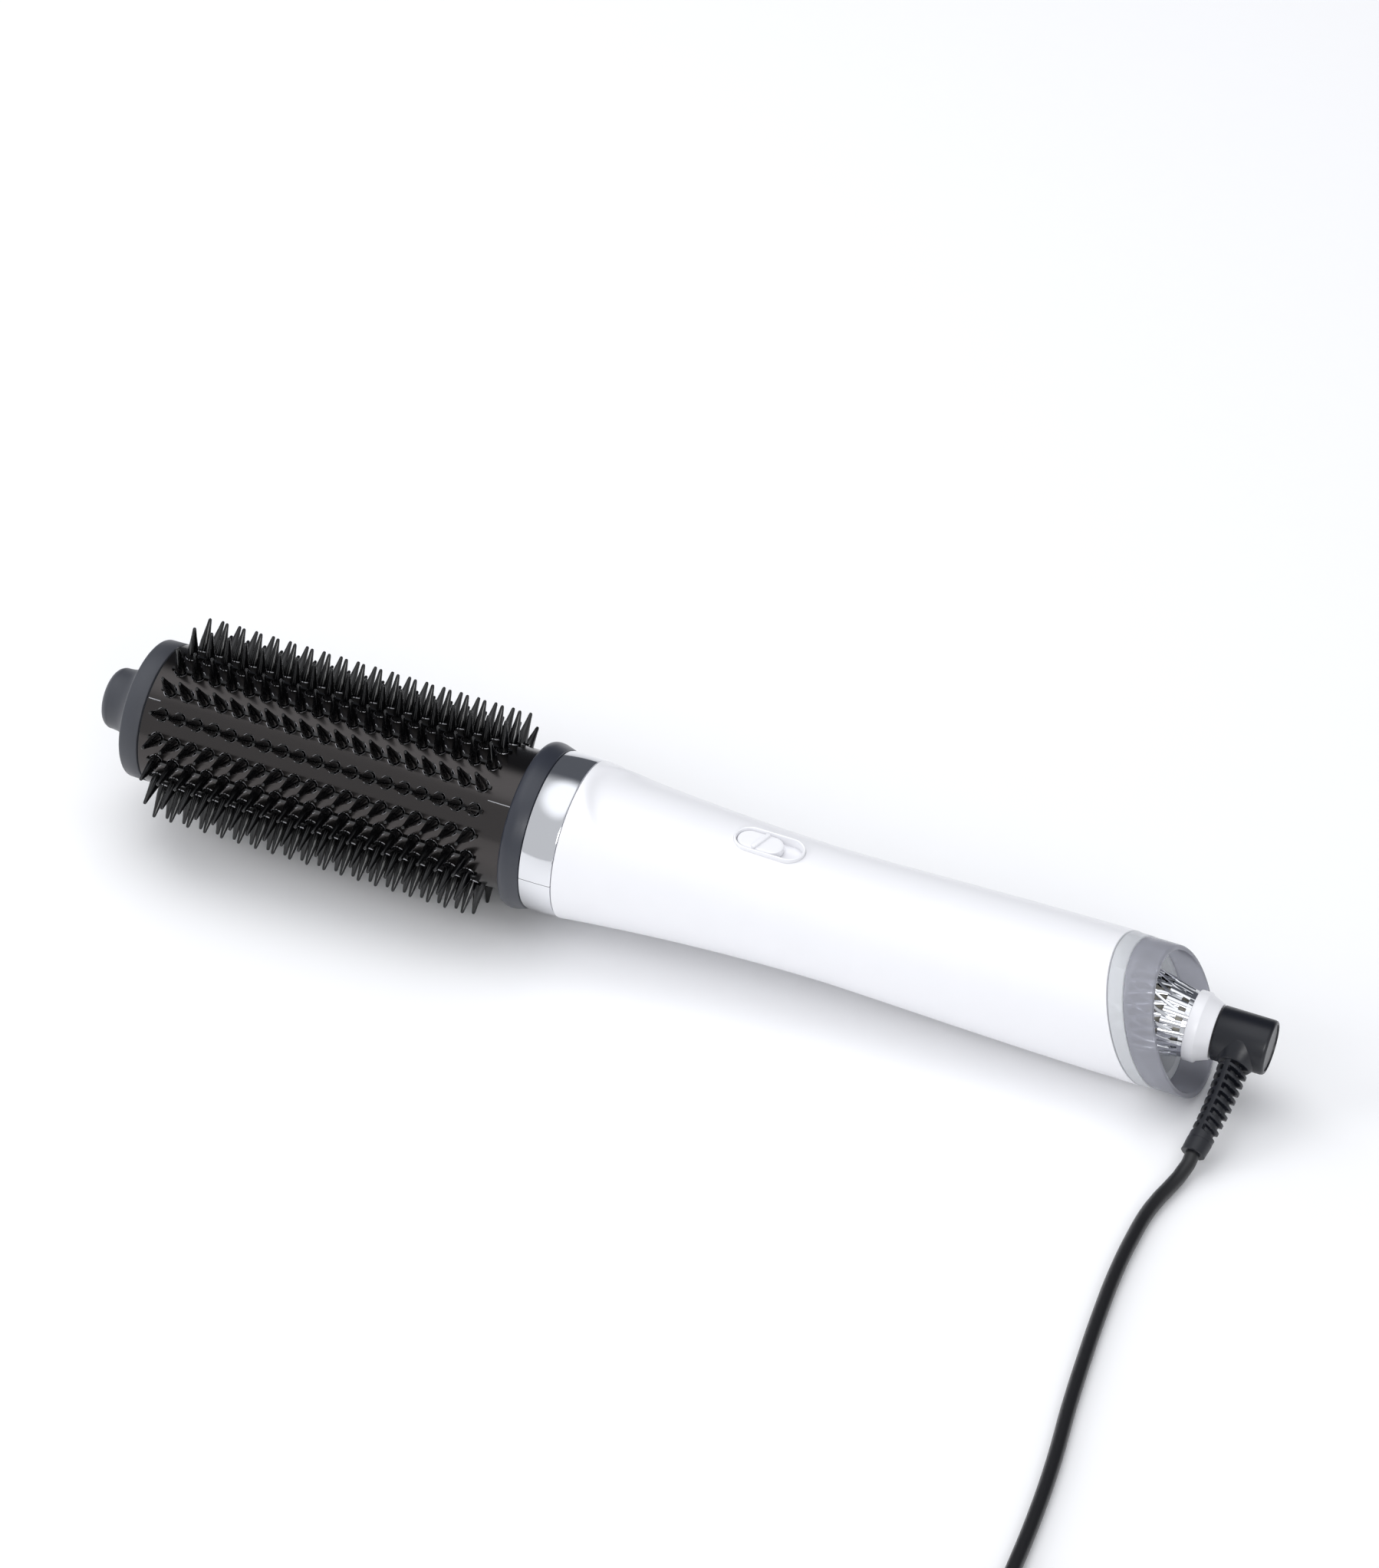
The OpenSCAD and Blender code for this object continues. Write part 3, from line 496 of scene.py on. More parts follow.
def make_finishes(colours):
    """Every finish on the brush, by the name of its slot."""
    return {
        # Soft-touch lacquer on ABS: a deep grey that takes the light broadly, with a fine powdery grain
        "cap_soft_black": moulded("Soft-touch lacquered ABS", colours.cap, 0.46, 0.25, 0.25,
                                  values={"Sheen Weight": 0.15, "Sheen Roughness": 0.4}),
        # Dark anodised aluminium, drawn and polished: mirrors the pins along fine lengthwise lines
        "barrel_bronze": drawn_metal("Dark anodised aluminium", colours.barrel, 0.17, 0.14, 0.2),
        # Moulded nylon pins: black, wet-looking gloss
        "pin_nylon": moulded("Glossy moulded nylon", linear("#040405"), 0.12, 0.6, 0.03,
                             values={"Specular IOR Level": 0.6}),
        # Pressed steel tube in its mill finish
        "core_steel": drawn_metal("Mill finish steel", linear("#6f6d69"), 0.42, 0.2, 0.2),
        # Mica board: pale brown, flaky and dry
        "mica": moulded("Mica board", linear("#a3946c"), 0.7, 0.8, 0.3, spread=0.18),
        # Resistance wire after its first heating: dull grey-brown oxide
        "heater_wire": moulded("Oxidised resistance wire", linear("#77706a"), 0.5, 0.2, 0.2, metallic=0.9),
        # Fired ceramic: chalky off-white
        "ceramic": moulded("Fired ceramic", linear("#e2ddd0"), 0.6, 0.3, 0.2),
        # Tinned can: soft silver
        "tinned_metal": moulded("Tinned steel", linear("#c3c3c6"), 0.35, 0.3, 0.1, metallic=1.0),
        # Painted heat-resistant nylon collar: blue-grey black with a satin sheen
        "collar_graphite": moulded("Graphite satin nylon", linear("#2c2f38"), 0.36, 0.2, 0.12,
                                   values={"Coat Weight": 0.25, "Coat Roughness": 0.3}),
        # Chromium plate on ABS: a clean mirror
        "chrome": moulded("Chromium plate", linear("#e4e5e8"), 0.07, 0.8, 0.01, metallic=1.0, spread=0.01),
        # Injection-moulded ABS with a satin white lacquer: bright and even
        "body_white": moulded("Satin white ABS", colours.body, 0.3, 0.35, 0.04, spread=0.012,
                              values={"Coat Weight": 0.2, "Coat Roughness": 0.2}),
        # Fine spark-eroded white ABS on the slider
        "switch_white": moulded("Spark-eroded white ABS", linear("#ededf0"), 0.48, 0.2, 0.15, spread=0.02),
        # Glass-filled black nylon inside
        "inner_black": moulded("Glass-filled nylon", linear("#1d1d1f"), 0.5, 0.4, 0.2),
        # Solder mask on a circuit board
        "board_green": moulded("Green solder mask", linear("#21603c"), 0.35, 0.6, 0.1),
        # Heat-resistant ivory PBT duct
        "duct_ivory": moulded("Ivory PBT", linear("#d8d2c0"), 0.45, 0.3, 0.1),
        # Grey PBT fan housing
        "housing_grey": moulded("Grey PBT", linear("#4f5256"), 0.45, 0.3, 0.1),
        # Silicone rubber motor mount
        "soft_rubber": moulded("Silicone rubber", linear("#161617"), 0.7, 0.5, 0.2),
        # Zinc plate on the motor can
        "motor_steel": moulded("Zinc plated steel", linear("#aeb0b3"), 0.35, 0.6, 0.1, metallic=1.0),
        # Woven steel screen
        "mesh_steel": moulded("Woven steel screen", linear("#6f7276"), 0.4, 0.5, 0.3, metallic=1.0),
        # Frosted clear SAN: lets the light through softly
        "clear_plastic": moulded("Frosted clear SAN", linear("#f1f3f6"), 0.3, 0.4, 0.05, spread=0.02,
                                 values={"Transmission Weight": 0.45, "IOR": 1.3}),
        # Smoke tinted polycarbonate: grey and slightly see-through
        "smoke_plastic": moulded("Smoke polycarbonate", colours.smoke, 0.16, 0.4, 0.03, spread=0.03,
                                 values={"Transmission Weight": 0.6, "IOR": 1.25}),
        # Turned brass slip rings
        "contact_brass": moulded("Turned brass", linear("#c9a45c"), 0.2, 0.3, 0.05, metallic=1.0),
        # Black PVC elbow with a satin moulding texture
        "elbow_black": moulded("Satin black PVC", linear("#12141b"), 0.34, 0.25, 0.12),
        # Soft PVC cord sheath: black, a little greasy in the light
        "cord_pvc": moulded("Soft PVC sheath", linear("#141416"), 0.34, 0.5, 0.12,
                            values={"Coat Weight": 0.15, "Coat Roughness": 0.35}),
        # Woven tie, matt black
        "tie_black": moulded("Matt black strap", linear("#1b1b1e"), 0.75, 0.6, 0.4),
        # Nickel plate on the plug's pins
        "pin_metal": moulded("Nickel plate", linear("#cfcfd2"), 0.18, 0.4, 0.03, metallic=1.0),
    }


FINISHES = {}


# ---------- operators ----------

class BRUSH_OT_finishes(Operator):
    """Makes the finishes and puts them on the CAD nodes that stay in sight"""

    bl_idname = "brush.finishes"
    bl_label = "Finishes"

    def execute(self, context):
        FINISHES.update(make_finishes(context.scene.brush_colours))
        slots = {part["node"]: part["material_slot"] for part in frame["record"]["subparts"]}
        for node, piece in frame["nodes"].items():
            piece.data.materials.clear()
            piece.data.materials.append(FINISHES[slots[node]])
        return {"FINISHED"}


class BRUSH_OT_studio(Operator):
    """Makes the pale floor, the soft studio light and the camera"""

    bl_idname = "brush.studio"
    bl_label = "Studio"

    def execute(self, context):
        scene = context.scene
        eye, aim = Vector((0.4632, -1.1078, 1.0354)), Vector((-0.0033, 0.0221, 0.0467))
        lens = bpy.data.cameras.new("camera")
        lens.sensor_fit = "HORIZONTAL"
        lens.sensor_width = 36.0
        lens.lens = 129.2
        lens.clip_end = 20.0
        camera = bpy.data.objects.new("camera", lens)
        camera.location = eye
        camera.rotation_euler = (aim - eye).to_track_quat("-Z", "Y").to_euler()
        scene.collection.objects.link(camera)
        scene.camera = camera
        self.floor(scene)
        self.lights(scene)
        scene.view_settings.view_transform = "Standard"
        return {"FINISHED"}

    def floor(self, scene):
        mesh = bpy.data.meshes.new("floor")
        mesh.from_pydata([(-6, -6, 0), (6, -6, 0), (6, 6, 0), (-6, 6, 0)], [], [(0, 1, 2, 3)])
        floor = bpy.data.objects.new("floor", mesh)
        scene.collection.objects.link(floor)
        # White acrylic table: bright, with a weak broad reflection
        mesh.materials.append(moulded("White acrylic sheet", linear("#f7f7f8"), 0.35, 2.0, 0.0, spread=0.004))

    def lights(self, scene):
        world = bpy.data.worlds.new("studio")
        world.use_nodes = True
        tree = world.node_tree
        # Bright overhead and in front, greyer behind, so that bright metal shows a dark upper band
        direction = add(tree, "ShaderNodeSeparateXYZ", links={
            "Vector": add(tree, "ShaderNodeTexCoord").outputs["Generated"]})
        behind = add(tree, "ShaderNodeMapRange", {"interpolation_type": "SMOOTHSTEP"},
                     {"From Min": 0.3, "From Max": 0.6}, {"Value": direction.outputs["Y"]})
        shade = add(tree, "ShaderNodeMix", {"data_type": "RGBA"}, {6: linear("#eef0f4"), 7: linear("#6a6d74")},
                    {"Factor": behind.outputs["Result"]})
        overhead = add(tree, "ShaderNodeMapRange", {"interpolation_type": "SMOOTHSTEP"},
                       {"From Min": 0.8, "From Max": 0.95, "To Min": 0.74, "To Max": 1.5},
                       {"Value": direction.outputs["Z"]})
        backdrop = tree.nodes["Background"]
        tree.links.new(overhead.outputs["Result"], backdrop.inputs["Strength"])
        tree.links.new(shade.outputs[2], backdrop.inputs["Color"])
        scene.world = world
        for name, place, size, power in (
                ("key", (-0.5, 0.5, 1.5), (1.4, 1.4), 11.0),
                ("front", (0.9, -1.2, 0.9), (0.8, 0.5), 6.0),
                ("left", (-1.3, -0.7, 0.8), (0.5, 0.9), 7.0)):
            lamp = bpy.data.lights.new(name, "AREA")
            lamp.shape = "RECTANGLE"
            lamp.size, lamp.size_y = size
            lamp.energy = power
            light = bpy.data.objects.new(name, lamp)
            light.location = place
            light.rotation_euler = (-Vector(place)).to_track_quat("-Z", "Y").to_euler()
            light.visible_glossy = name == "front"
            scene.collection.objects.link(light)


def relief_point(distance):
    """A point on the strain relief's axis, in the frame, at millimetres from the middle of the elbow."""
    direction = Vector((
        -math.sin(RELIEF_LEAN),
        -math.sin(RELIEF_ANGLE) * math.cos(RELIEF_LEAN),
        math.cos(RELIEF_ANGLE) * math.cos(RELIEF_LEAN)))
    return TO_FRAME @ (Vector((RELIEF_X, 0, 0)) + direction * distance)


def coil_points():
    """The coil's turns, level by level: outer to inner, then inner to outer, and so on up.

    Each turn keeps its place for its first part and then eases over to the next."""
    stay = 0.6
    places = []
    for level, height in enumerate(COIL_LEVELS):
        radii = COIL_RADII if level % 2 == 0 else COIL_RADII[::-1]
        places += [(radius, height) for radius in radii]
    points = []
    for turn, (radius, height) in enumerate(places):
        after = places[min(turn + 1, len(places) - 1)]
        for k in range(TURN_POINTS):
            t = k / TURN_POINTS
            blend = max(0.0, (t - stay) / (1 - stay))
            blend = blend * blend * (3 - 2 * blend)
            a = math.pi + 2 * math.pi * t
            r = radius + (after[0] - radius) * blend
            z = height + (after[1] - height) * blend
            points.append((COIL_CENTRE[0] + r * math.cos(a), COIL_CENTRE[1] + r * math.sin(a), z))
    return points


class BRUSH_OT_cord(Operator):
    """Makes the strain relief and lays the mains cord from it into a tied coil and on to its plug"""

    bl_idname = "brush.cord"
    bl_label = "Cord and strain relief"

    def execute(self, context):
        diameter = context.scene.brush_sizes.cord_diameter
        start = relief_point(RELIEF_LEN)
        route = [start, relief_point(RELIEF_LEN + CORD_LEAD)]
        # The first floor point is passed over, so that the cord leaves its relief without a kink
        route += [Vector(p) for p in CORD_ROUTE[1:]]
        route.append(Vector(COIL_START))
        route += [Vector(p) for p in coil_points()]
        route.append(Vector((COIL_CENTRE[0] - COIL_RADII[0], COIL_CENTRE[1], COIL_LEVELS[-1])))
        route += [Vector(p) for p in TAIL_ROUTE]
        curve = bpy.data.curves.new("mains_cord", "CURVE")
        curve.dimensions = "3D"
        curve.bevel_depth = diameter / 2
        curve.bevel_resolution = 5
        curve.resolution_u = 4
        curve.use_fill_caps = True
        line = curve.splines.new("BEZIER")
        line.bezier_points.add(len(route) - 1)
        for point, place in zip(line.bezier_points, route):
            point.co = place
            point.handle_left_type = point.handle_right_type = "AUTO"
        cord = bpy.data.objects.new("mains_cord", curve)
        context.scene.collection.objects.link(cord)
        curve.materials.append(FINISHES["cord_pvc"])
        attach(cord, "swivel")
        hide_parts("cord", "cord_coil", "cord_tail")
        relief = strain_relief(context.scene.brush_sizes.relief_rings)
        return {"FINISHED"}


def axis_piece(name, mesh, slot, nodes, body="handle", angle=35.0):
    """A finished mesh in its slot's finish, for the CAD nodes it stands for."""
    smooth(mesh, angle)
    return piece_from(name, mesh, FINISHES[slot], body, nodes)


# Turns a shape lathed about x so that it stands up, out of the barrel
UPRIGHT = Matrix.Rotation(-math.pi / 2, 4, "Y")


class BRUSH_OT_pins(Operator):
    """Makes the rows of glossy pins with their webs and rails, and the edges of their holes in a lighter metal as
    a painted highlight
    """

    bl_idname = "brush.pins"
    bl_label = "Pins"

    def execute(self, context):
        sizes = context.scene.brush_sizes
        base, tip, top = sizes.pin_base, sizes.pin_tip, sizes.pin_circle
        profile = [(21.4, base * 1.02), (24.2, base), (26.4, base * 0.92), (29.2, base * 0.66),
                   (31.8, tip * 1.3), (top - 0.8, tip), (top - 0.22, tip * 0.72), (top, 0.0)]
        pin = lathe("pin", profile, segments=8, closed=False, matrix=UPRIGHT)
        half = sizes.pin_pitch / 2
        web = self.block(half, WEB_HALF, WEB_R)
        rail = self.block(half, RAIL_HALF, RAIL_R)
        tab = self.block(*TAB_HALF, TAB_R)
        template = joined("pin_template", pin, web, rail, tab)
        smooth(template, 50.0)
        mesh = turned_copies("pin_combs", template, FINISHES["pin_nylon"], sizes.pin_rows, 0.5,
                             sizes.pins_per_row, sizes.pin_pitch, BARREL_X + FIRST_PIN_GAP)
        piece_from("pin_combs", mesh, None, "handle",
                   ["bristle_strip_%02d" % (i + 1) for i in range(sizes.pin_rows)])
        self.rims(sizes)
        return {"FINISHED"}

    def rims(self, sizes):
        """Raised rolled edges of the pin holes and the ends of the barrel's seam; their metal, lighter than the
        barrel's, is a painted highlight for the light these edges catch.
        """
        rolled = [(HOLE_FOOT_R, 2.16), (23.38, 2.24), (23.4, 2.36), (HOLE_FOOT_R, 2.5)]
        edge = lathe("edge", rolled, segments=12, matrix=UPRIGHT)
        smooth(edge, 60.0)
        # The lighter tinned finish on these edges is a painted highlight.
        metal = FINISHES["tinned_metal"]
        mesh = turned_copies("hole_edges_painted_highlight", edge, metal, sizes.pin_rows, 0.5,
                             sizes.pins_per_row, sizes.pin_pitch, BARREL_X + FIRST_PIN_GAP)
        seams = []
        for x0, x1 in ((BARREL_X + 0.2, BARREL_X + 4.4), (COLLAR_X - 8.4, COLLAR_X + 0.1)):
            seam = bar("seam", [(x0, SEAM_R, SEAM_ANGLE), (x1, SEAM_R, SEAM_ANGLE)], 0.35, 0.4)
            seam.transform(TO_FRAME)
            seams.append(seam)
        mesh = joined("barrel_edges_painted_highlight", mesh, *seams)
        mesh.materials.append(metal)
        piece_from("barrel_edges_painted_highlight", mesh, None, "handle", ())

    def block(self, length, width, zs):
        """A block about the z axis, of a half length along x and a half width along y."""
        points = [(x, y, z) for x in (-length, length) for y in (-width, width) for z in zs]
        faces = [(0, 1, 3, 2), (4, 6, 7, 5), (0, 4, 5, 1), (2, 3, 7, 6), (1, 5, 7, 3), (0, 2, 6, 4)]
        return mesh_from("block", points, faces, Matrix.Identity(4))


class BRUSH_OT_front(Operator):
    """Makes the tip cap, the heat collar and the chrome trim ring"""

    bl_idname = "brush.front"
    bl_label = "Cap, collar and ring"

    def execute(self, context):
        end = BARREL_X - CAP_LEN
        flare = [(end + 2.9, 10.25), (end + 5.5, 10.5), (end + 7.8, 11.3), (end + 9.8, 12.9),
                 (end + 11.3, 15.0), (end + 12.4, 17.4), (end + 13.2, 20.0), (end + 13.7, 21.9)]
        cap = [(end - 0.3, 0.0), (end - 0.25, 4.0), (end - 0.05, 6.9),
               *rounded(end + 3.0, 7.3, 3.0, 176, 96, 8), *eased(flare, 4),
               *rounded(end + 14.8, 22.2, 1.0, 160, 94, 6),
               (BARREL_X - 0.9, 23.3), (BARREL_X - 0.65, 23.1), (BARREL_X - 0.6, 22.3),
               (BARREL_X + 0.05, 22.3), (BARREL_X + 0.05, 0.0)]
        axis_piece("cap", lathe("cap", cap, 160, closed=False), "cap_soft_black", ["tip_cap"], angle=50.0)
        bulge = [(COLLAR_X, 26.0), (COLLAR_X + 0.5, 26.9), (COLLAR_X + 1.6, 27.4),
                 (COLLAR_X + 3.2, 27.45), (COLLAR_X + 5.4, 26.9), (RING_X - 0.25, 26.4)]
        collar = [(COLLAR_X + 0.1, 23.4), (COLLAR_X, 23.6), *eased(bulge, 5),
                  (RING_X - 0.05, 26.0), (RING_X - 0.05, INNER_R), (COLLAR_X + 3.0, INNER_R)]
        axis_piece("heat_collar_shell", lathe("heat_collar_shell", collar, 160), "collar_graphite",
                   ["heat_collar"])
        trim = [(RING_X + 0.05, INNER_R), (RING_X + 0.05, 25.8), (RING_X + 0.15, 26.05),
                (RING_X + 0.4, 26.15), (-5.5, 26.15), (-0.9, 25.95), (-0.6, 25.8), (-0.45, 25.5),
                (-0.45, INNER_R)]
        # The halves meet at the sides with a fine parting gap
        for half, span in (("upper", (-89.8, 89.8)), ("lower", (90.2, 269.8))):
            name = "trim_" + half
            axis_piece(name, lathe(name, trim, 96, span=span), "chrome", ["trim_ring_" + half])
        return {"FINISHED"}


def sleeve_radius(x, a):
    """Radius of the handle's shell at a station and an angle from the top."""
    if x < WAIST_X:
        shell = WAIST_R + (FRONT_R - WAIST_R) * (1 - x / WAIST_X) ** 1.9
    else:
        shell = WAIST_R + (REAR_R - WAIST_R) * math.sin(
            math.pi / 2 * min(1, (x - WAIST_X) / (HANDLE_LEN - WAIST_X))) ** 1.3
    # The panel is only near the top
    if math.cos(a) > 0.2:
        rise = (x - WAIST_X - PANEL_PAST_WAIST) ** 2 / (2 * PANEL_ARC_R)
        height = PANEL_Z + rise - PANEL_CROSS_R
        panel = height * math.cos(a) + math.sqrt(PANEL_CROSS_R ** 2 - (height * math.sin(a)) ** 2)
        y = abs(shell * math.sin(a))
        beyond = (math.hypot(x - PANEL_END_X, y) if x < PANEL_END_X else y) - PANEL_HALF_WIDTH
        panel += PANEL_RUN_OUT * (beyond + math.hypot(beyond, PANEL_EASE))
        h = max(PANEL_BLEND - abs(shell - panel), 0) / PANEL_BLEND
        shell = min(shell, panel) - h * h * PANEL_BLEND / 4
    return shell


class BRUSH_OT_handle(Operator):
    """Makes the white sleeve with its soft thumb panel and the switch"""

    bl_idname = "brush.handle"
    bl_label = "Handle and switch"

    def execute(self, context):
        self.sleeve(context)
        self.switch()
        return {"FINISHED"}

    def sleeve(self, context):
        """The shell with its thumb panel and rear scoops, its bore, and the switch's window cut through."""
        around, stations = 192, 170
        points = []
        for i in range(stations + 1):
            for k in range(around):
                a = 2 * math.pi * k / around
                end = HANDLE_LEN - REAR_R * math.cos(a) * math.tan(SLANT)
                x = end * i / stations
                r = sleeve_radius(x, a)
                for side in (-1, 1):
                    turn = a - math.pi - side * math.pi * SCOOP_ANGLE / 180
                    away = math.hypot(x - HANDLE_LEN + SCOOP_R, turn * r)
                    if away < SCOOP_R:
                        ball = math.sqrt(SCOOP_BALL_R * SCOOP_BALL_R - away * away)
                        r = min(r, r + SCOOP_BALL_DEPTH - ball)
                points.append((x, -r * math.sin(a), r * math.cos(a)))
        faces = grid_faces(stations + 1, around)
        # From the front edge back through the bore to the slanted rear end
        inside = [(-MOUTH_LIP, FRONT_R - MOUTH_EDGE), (-MOUTH_LIP, MOUTH_BORE_R), (MOUTH_X, MOUTH_BORE_R),
                  (MOUTH_X, BORE_R), (SEAT_X, BORE_R), (SEAT_X, SEAT_BORE_R)]
        rims = [ring(x, r, around) for x, r in inside]
        rims.append([(HANDLE_LEN - z * math.tan(SLANT), y, z) for _, y, z in ring(0, SEAT_BORE_R, around)])
        order = [0]
        for rim in rims:
            order.append(len(points))
            points += rim
        order.append(stations * around)
        for a, b in zip(order, order[1:]):
            faces += band(a, b, around)
        mesh = mesh_from("sleeve", points, faces)
        cutter = stadium_ring("cutter", *WINDOW, [(0.0, 10.0), (0.0, 30.0)], SWITCH_X, closed=False)
        sleeve = bpy.data.objects.new("sleeve", mesh)
        tool = bpy.data.objects.new("cutter", cutter)
        for thing in (sleeve, tool):
            context.scene.collection.objects.link(thing)
        cut = sleeve.modifiers.new("cut", "BOOLEAN")
        cut.object = tool
        cut.operation = "DIFFERENCE"
        cut.solver = "EXACT"
        mesh = bpy.data.meshes.new_from_object(sleeve.evaluated_get(context.evaluated_depsgraph_get()))
        for thing in (sleeve, tool):
            bpy.data.objects.remove(thing)
        axis_piece("sleeve_shell", mesh, "body_white", ["handle_sleeve"], angle=38.0)

    def switch(self):
        """The oval rim and floor of the switch, and the slider with its slanted ridge."""
        section = [(-0.02, 19.0), (0.0, 21.1), (-0.12, 21.38), (-0.42, 21.5), (-0.72, 21.38),
                   (-0.85, 21.1), (-0.85, 18.4), (-0.85, 17.6), (-0.02, 17.6)]
        rim = stadium_ring("rim", *SWITCH_RIM, section, SWITCH_X)
        floor = stadium_ring("floor", *SWITCH_FLOOR, [(0.0, 18.0), (0.0, 18.4)], SWITCH_X, closed=False)
        axis_piece("switch_rim", joined("switch_rim", rim, floor), "body_white", ["switch_bezel"])
        plate = [(0.0, 18.7), (0.0, 20.5), (-0.12, 20.75), (-0.4, 20.9), (-1.2, 20.95)]
        middle = SWITCH_X - SLIDER_SHIFT
        top = stadium_ring("top", *SLIDER, plate, middle, closed=False)
        crest = [(0.0, 20.7), (-0.02, 21.4), (-0.2, 21.68), (-0.5, 21.78)]
        ridge = stadium_ring("ridge", *RIDGE, crest, 0.0, closed=False, around=48)
        ridge.transform(TO_FRAME.inverted())
        ridge.transform(Matrix.Translation((middle, 0, 0)) @ Matrix.Rotation(RIDGE_ANGLE, 4, "Z"))
        ridge.transform(TO_FRAME)
        axis_piece("slider", joined("slider", top, ridge), "switch_white", ["switch_slider"], "switch")


class BRUSH_OT_intake(Operator):
    """Makes the clear band, the smoke ring, the chrome grille and the cord collar"""

    bl_idname = "brush.intake"
    bl_label = "Air intake"

    def execute(self, context):
        slant = math.tan(SLANT)
        clear = [(HANDLE_LEN + 0.3, 18.6), (HANDLE_LEN + 0.3, 22.3), (HANDLE_LEN + 0.55, 22.55),
                 (CLEAR_X - 0.4, 22.5), (CLEAR_X - 0.15, 22.25), (CLEAR_X - 0.15, 18.6)]
        axis_piece("clear_band", lathe("clear_band", clear, 160, shear=slant), "clear_plastic", ["clear_ring"],
                   "intake_cover")
        smoke = [(CLEAR_X, 20.8), (CLEAR_X, 22.15), (CLEAR_X + 0.25, 22.4), (RIM_X - 0.5, 22.4),
                 (RIM_X - 0.15, 22.25), (RIM_X, 21.95), (RIM_X, 21.2), (RIM_X - 0.15, 20.95),
                 (RIM_X - 0.5, 20.8)]
        axis_piece("smoke_ring", lathe("smoke_ring", smoke, 160, shear=slant), "smoke_plastic", ["intake_ring"],
                   "intake_cover")
        self.basket(context)
        collar = [(PLATE_X, 6.1), (PLATE_X, 10.8), (PLATE_X + 0.15, 11.1), (PLATE_X + 0.5, 11.2),
                  (PLATE_X + 3.4, 11.2), (PLATE_X + 3.7, 11.0), (PLATE_X + 4.1, 10.5), (PLATE_X + 7.6, 9.1),
                  (PLATE_X + 7.95, 8.8), (PLATE_X + 7.95, 6.1)]
        axis_piece("collar_of_cord", lathe("collar_of_cord", collar, 128), "body_white", ["cord_collar"])
        return {"FINISHED"}

    def basket(self, context):
        """The grille's cone: straight ribs behind, two sets of crossing sweeps and a hoop at each end."""
        ribs = context.scene.brush_sizes.basket_ribs
        wide, narrow = (BASKET_X, 18.0), (PLATE_X - 0.1, 10.4)

        def radius(x):
            return wide[1] + (narrow[1] - wide[1]) * (x - wide[0]) / (narrow[0] - wide[0])

        straight = bar("rib", [(x, radius(x), 0) for x in (195.5, 198.0, 200.5, PLATE_X - 0.1)], *RIB)
        chrome = FINISHES["chrome"]
        meshes = [turned_copies("ribs", straight, chrome, ribs)]
        for lean, width in SWEEP_WIDTHS.items():
            path = []
            for k in range(SWEEP_STEPS + 1):
                x = wide[0] + SWEEP_START + SWEEP_LEN * k / SWEEP_STEPS
                turn = lean * SWEEP_TURN * (1 - (k / SWEEP_STEPS)) ** 1.3
                # One set lies a little under the other, so that they cross without meeting face to face
                path.append((x, radius(x) - 0.12 * (1 + lean), turn))
            sweep = bar("sweep", path, width, SWEEP_DEPTH)
            meshes.append(turned_copies("sweeps", sweep, chrome, ribs, 0.25 * lean))
        hoops = []
        for x0, x1, r in ((BASKET_X - 1.2, BASKET_X + 1.4, 18.1), (PLATE_X - 1.5, PLATE_X - 0.05, 10.75)):
            hoop = [(x0, r - GRILLE_HOOP), (x0, r), (x1, radius(x1)), (x1, radius(x1) - GRILLE_HOOP)]
            hoops.append(lathe("hoop", hoop, 96))
        mesh = joined("grille", *meshes, *hoops)
        mesh.materials.append(chrome)
        for face in mesh.polygons:
            face.material_index = 0
        axis_piece("grille", mesh, "chrome", ["intake_basket"], angle=40.0)


# Puts a shape made along x onto the strain relief's axis
RELIEF_FRAME = (
    TO_FRAME @ Matrix.Translation((RELIEF_X, 0, 0)) @ Matrix.Rotation(RELIEF_ANGLE, 4, "X")
    @ Matrix.Rotation(-RELIEF_LEAN, 4, "Y") @ Matrix.Rotation(-math.pi / 2, 4, "Y"))


def strain_relief(rings):
    """The sleeve round the cord: slots between two spines, each slot leaning back to its spine."""
    root, neck, first, last, around = 6.0, 8.6, 9.0, RELIEF_LEN - 5.8, 72
    pitch = (last - first) / rings
    # Levels fine enough to show the slots, up to the plain end
    fine = RELIEF_LEN - 9.2
    count = int(fine / 0.22)
    levels = [root, neck] + [neck + fine * (k + 1) / count for k in range(count)]
    cuff = RELIEF_LEN - 4.6
    points = []
    for d in levels:
        taper = max(0.0, (d - first) / (RELIEF_LEN - 14))
        outer = RELIEF_WIDE_R + (RELIEF_NARROW_R - RELIEF_WIDE_R) * taper
        # The plain end stands a little proud
        if d > cuff:
            outer += 0.12
        bow = RELIEF_BOW * math.sin(math.pi * min(1.0, max(0.0, (d - root) / (RELIEF_LEN - root))))
        for k in range(around):
            a = 2 * math.pi * k / around
            side = abs(math.cos(a - SPINE_TWIST))
            along = d - first + SLOT_LEAN * (1 - side)
            depth = 0.0
            if 0 <= along < last - first and side > SPINE_EDGE:
                t = (along / pitch) % 1.0
                depth = min(1.0, max(0.0, (SLOT_HALF - abs(t - 0.5)) / SLOT_EDGE))
                depth *= min(1.0, (side - SPINE_EDGE) / SLOT_EDGE)
            r = outer - (outer - RELIEF_CORE_R) * depth
            points.append((d, -r * math.sin(a), r * math.cos(a) - bow))
    tail = [(RELIEF_LEN - 0.25, RELIEF_NARROW_R), (RELIEF_LEN, 3.55), (RELIEF_LEN, 0.0)]
    for d, r in tail:
        points += ring(d, r, around)
    faces = grid_faces(len(levels) + len(tail), around) + [list(range(around))]
    mesh = mesh_from("relief", points, faces, RELIEF_FRAME)
    return axis_piece("relief", mesh, "elbow_black", ["strain_relief"], "swivel", angle=30.0)


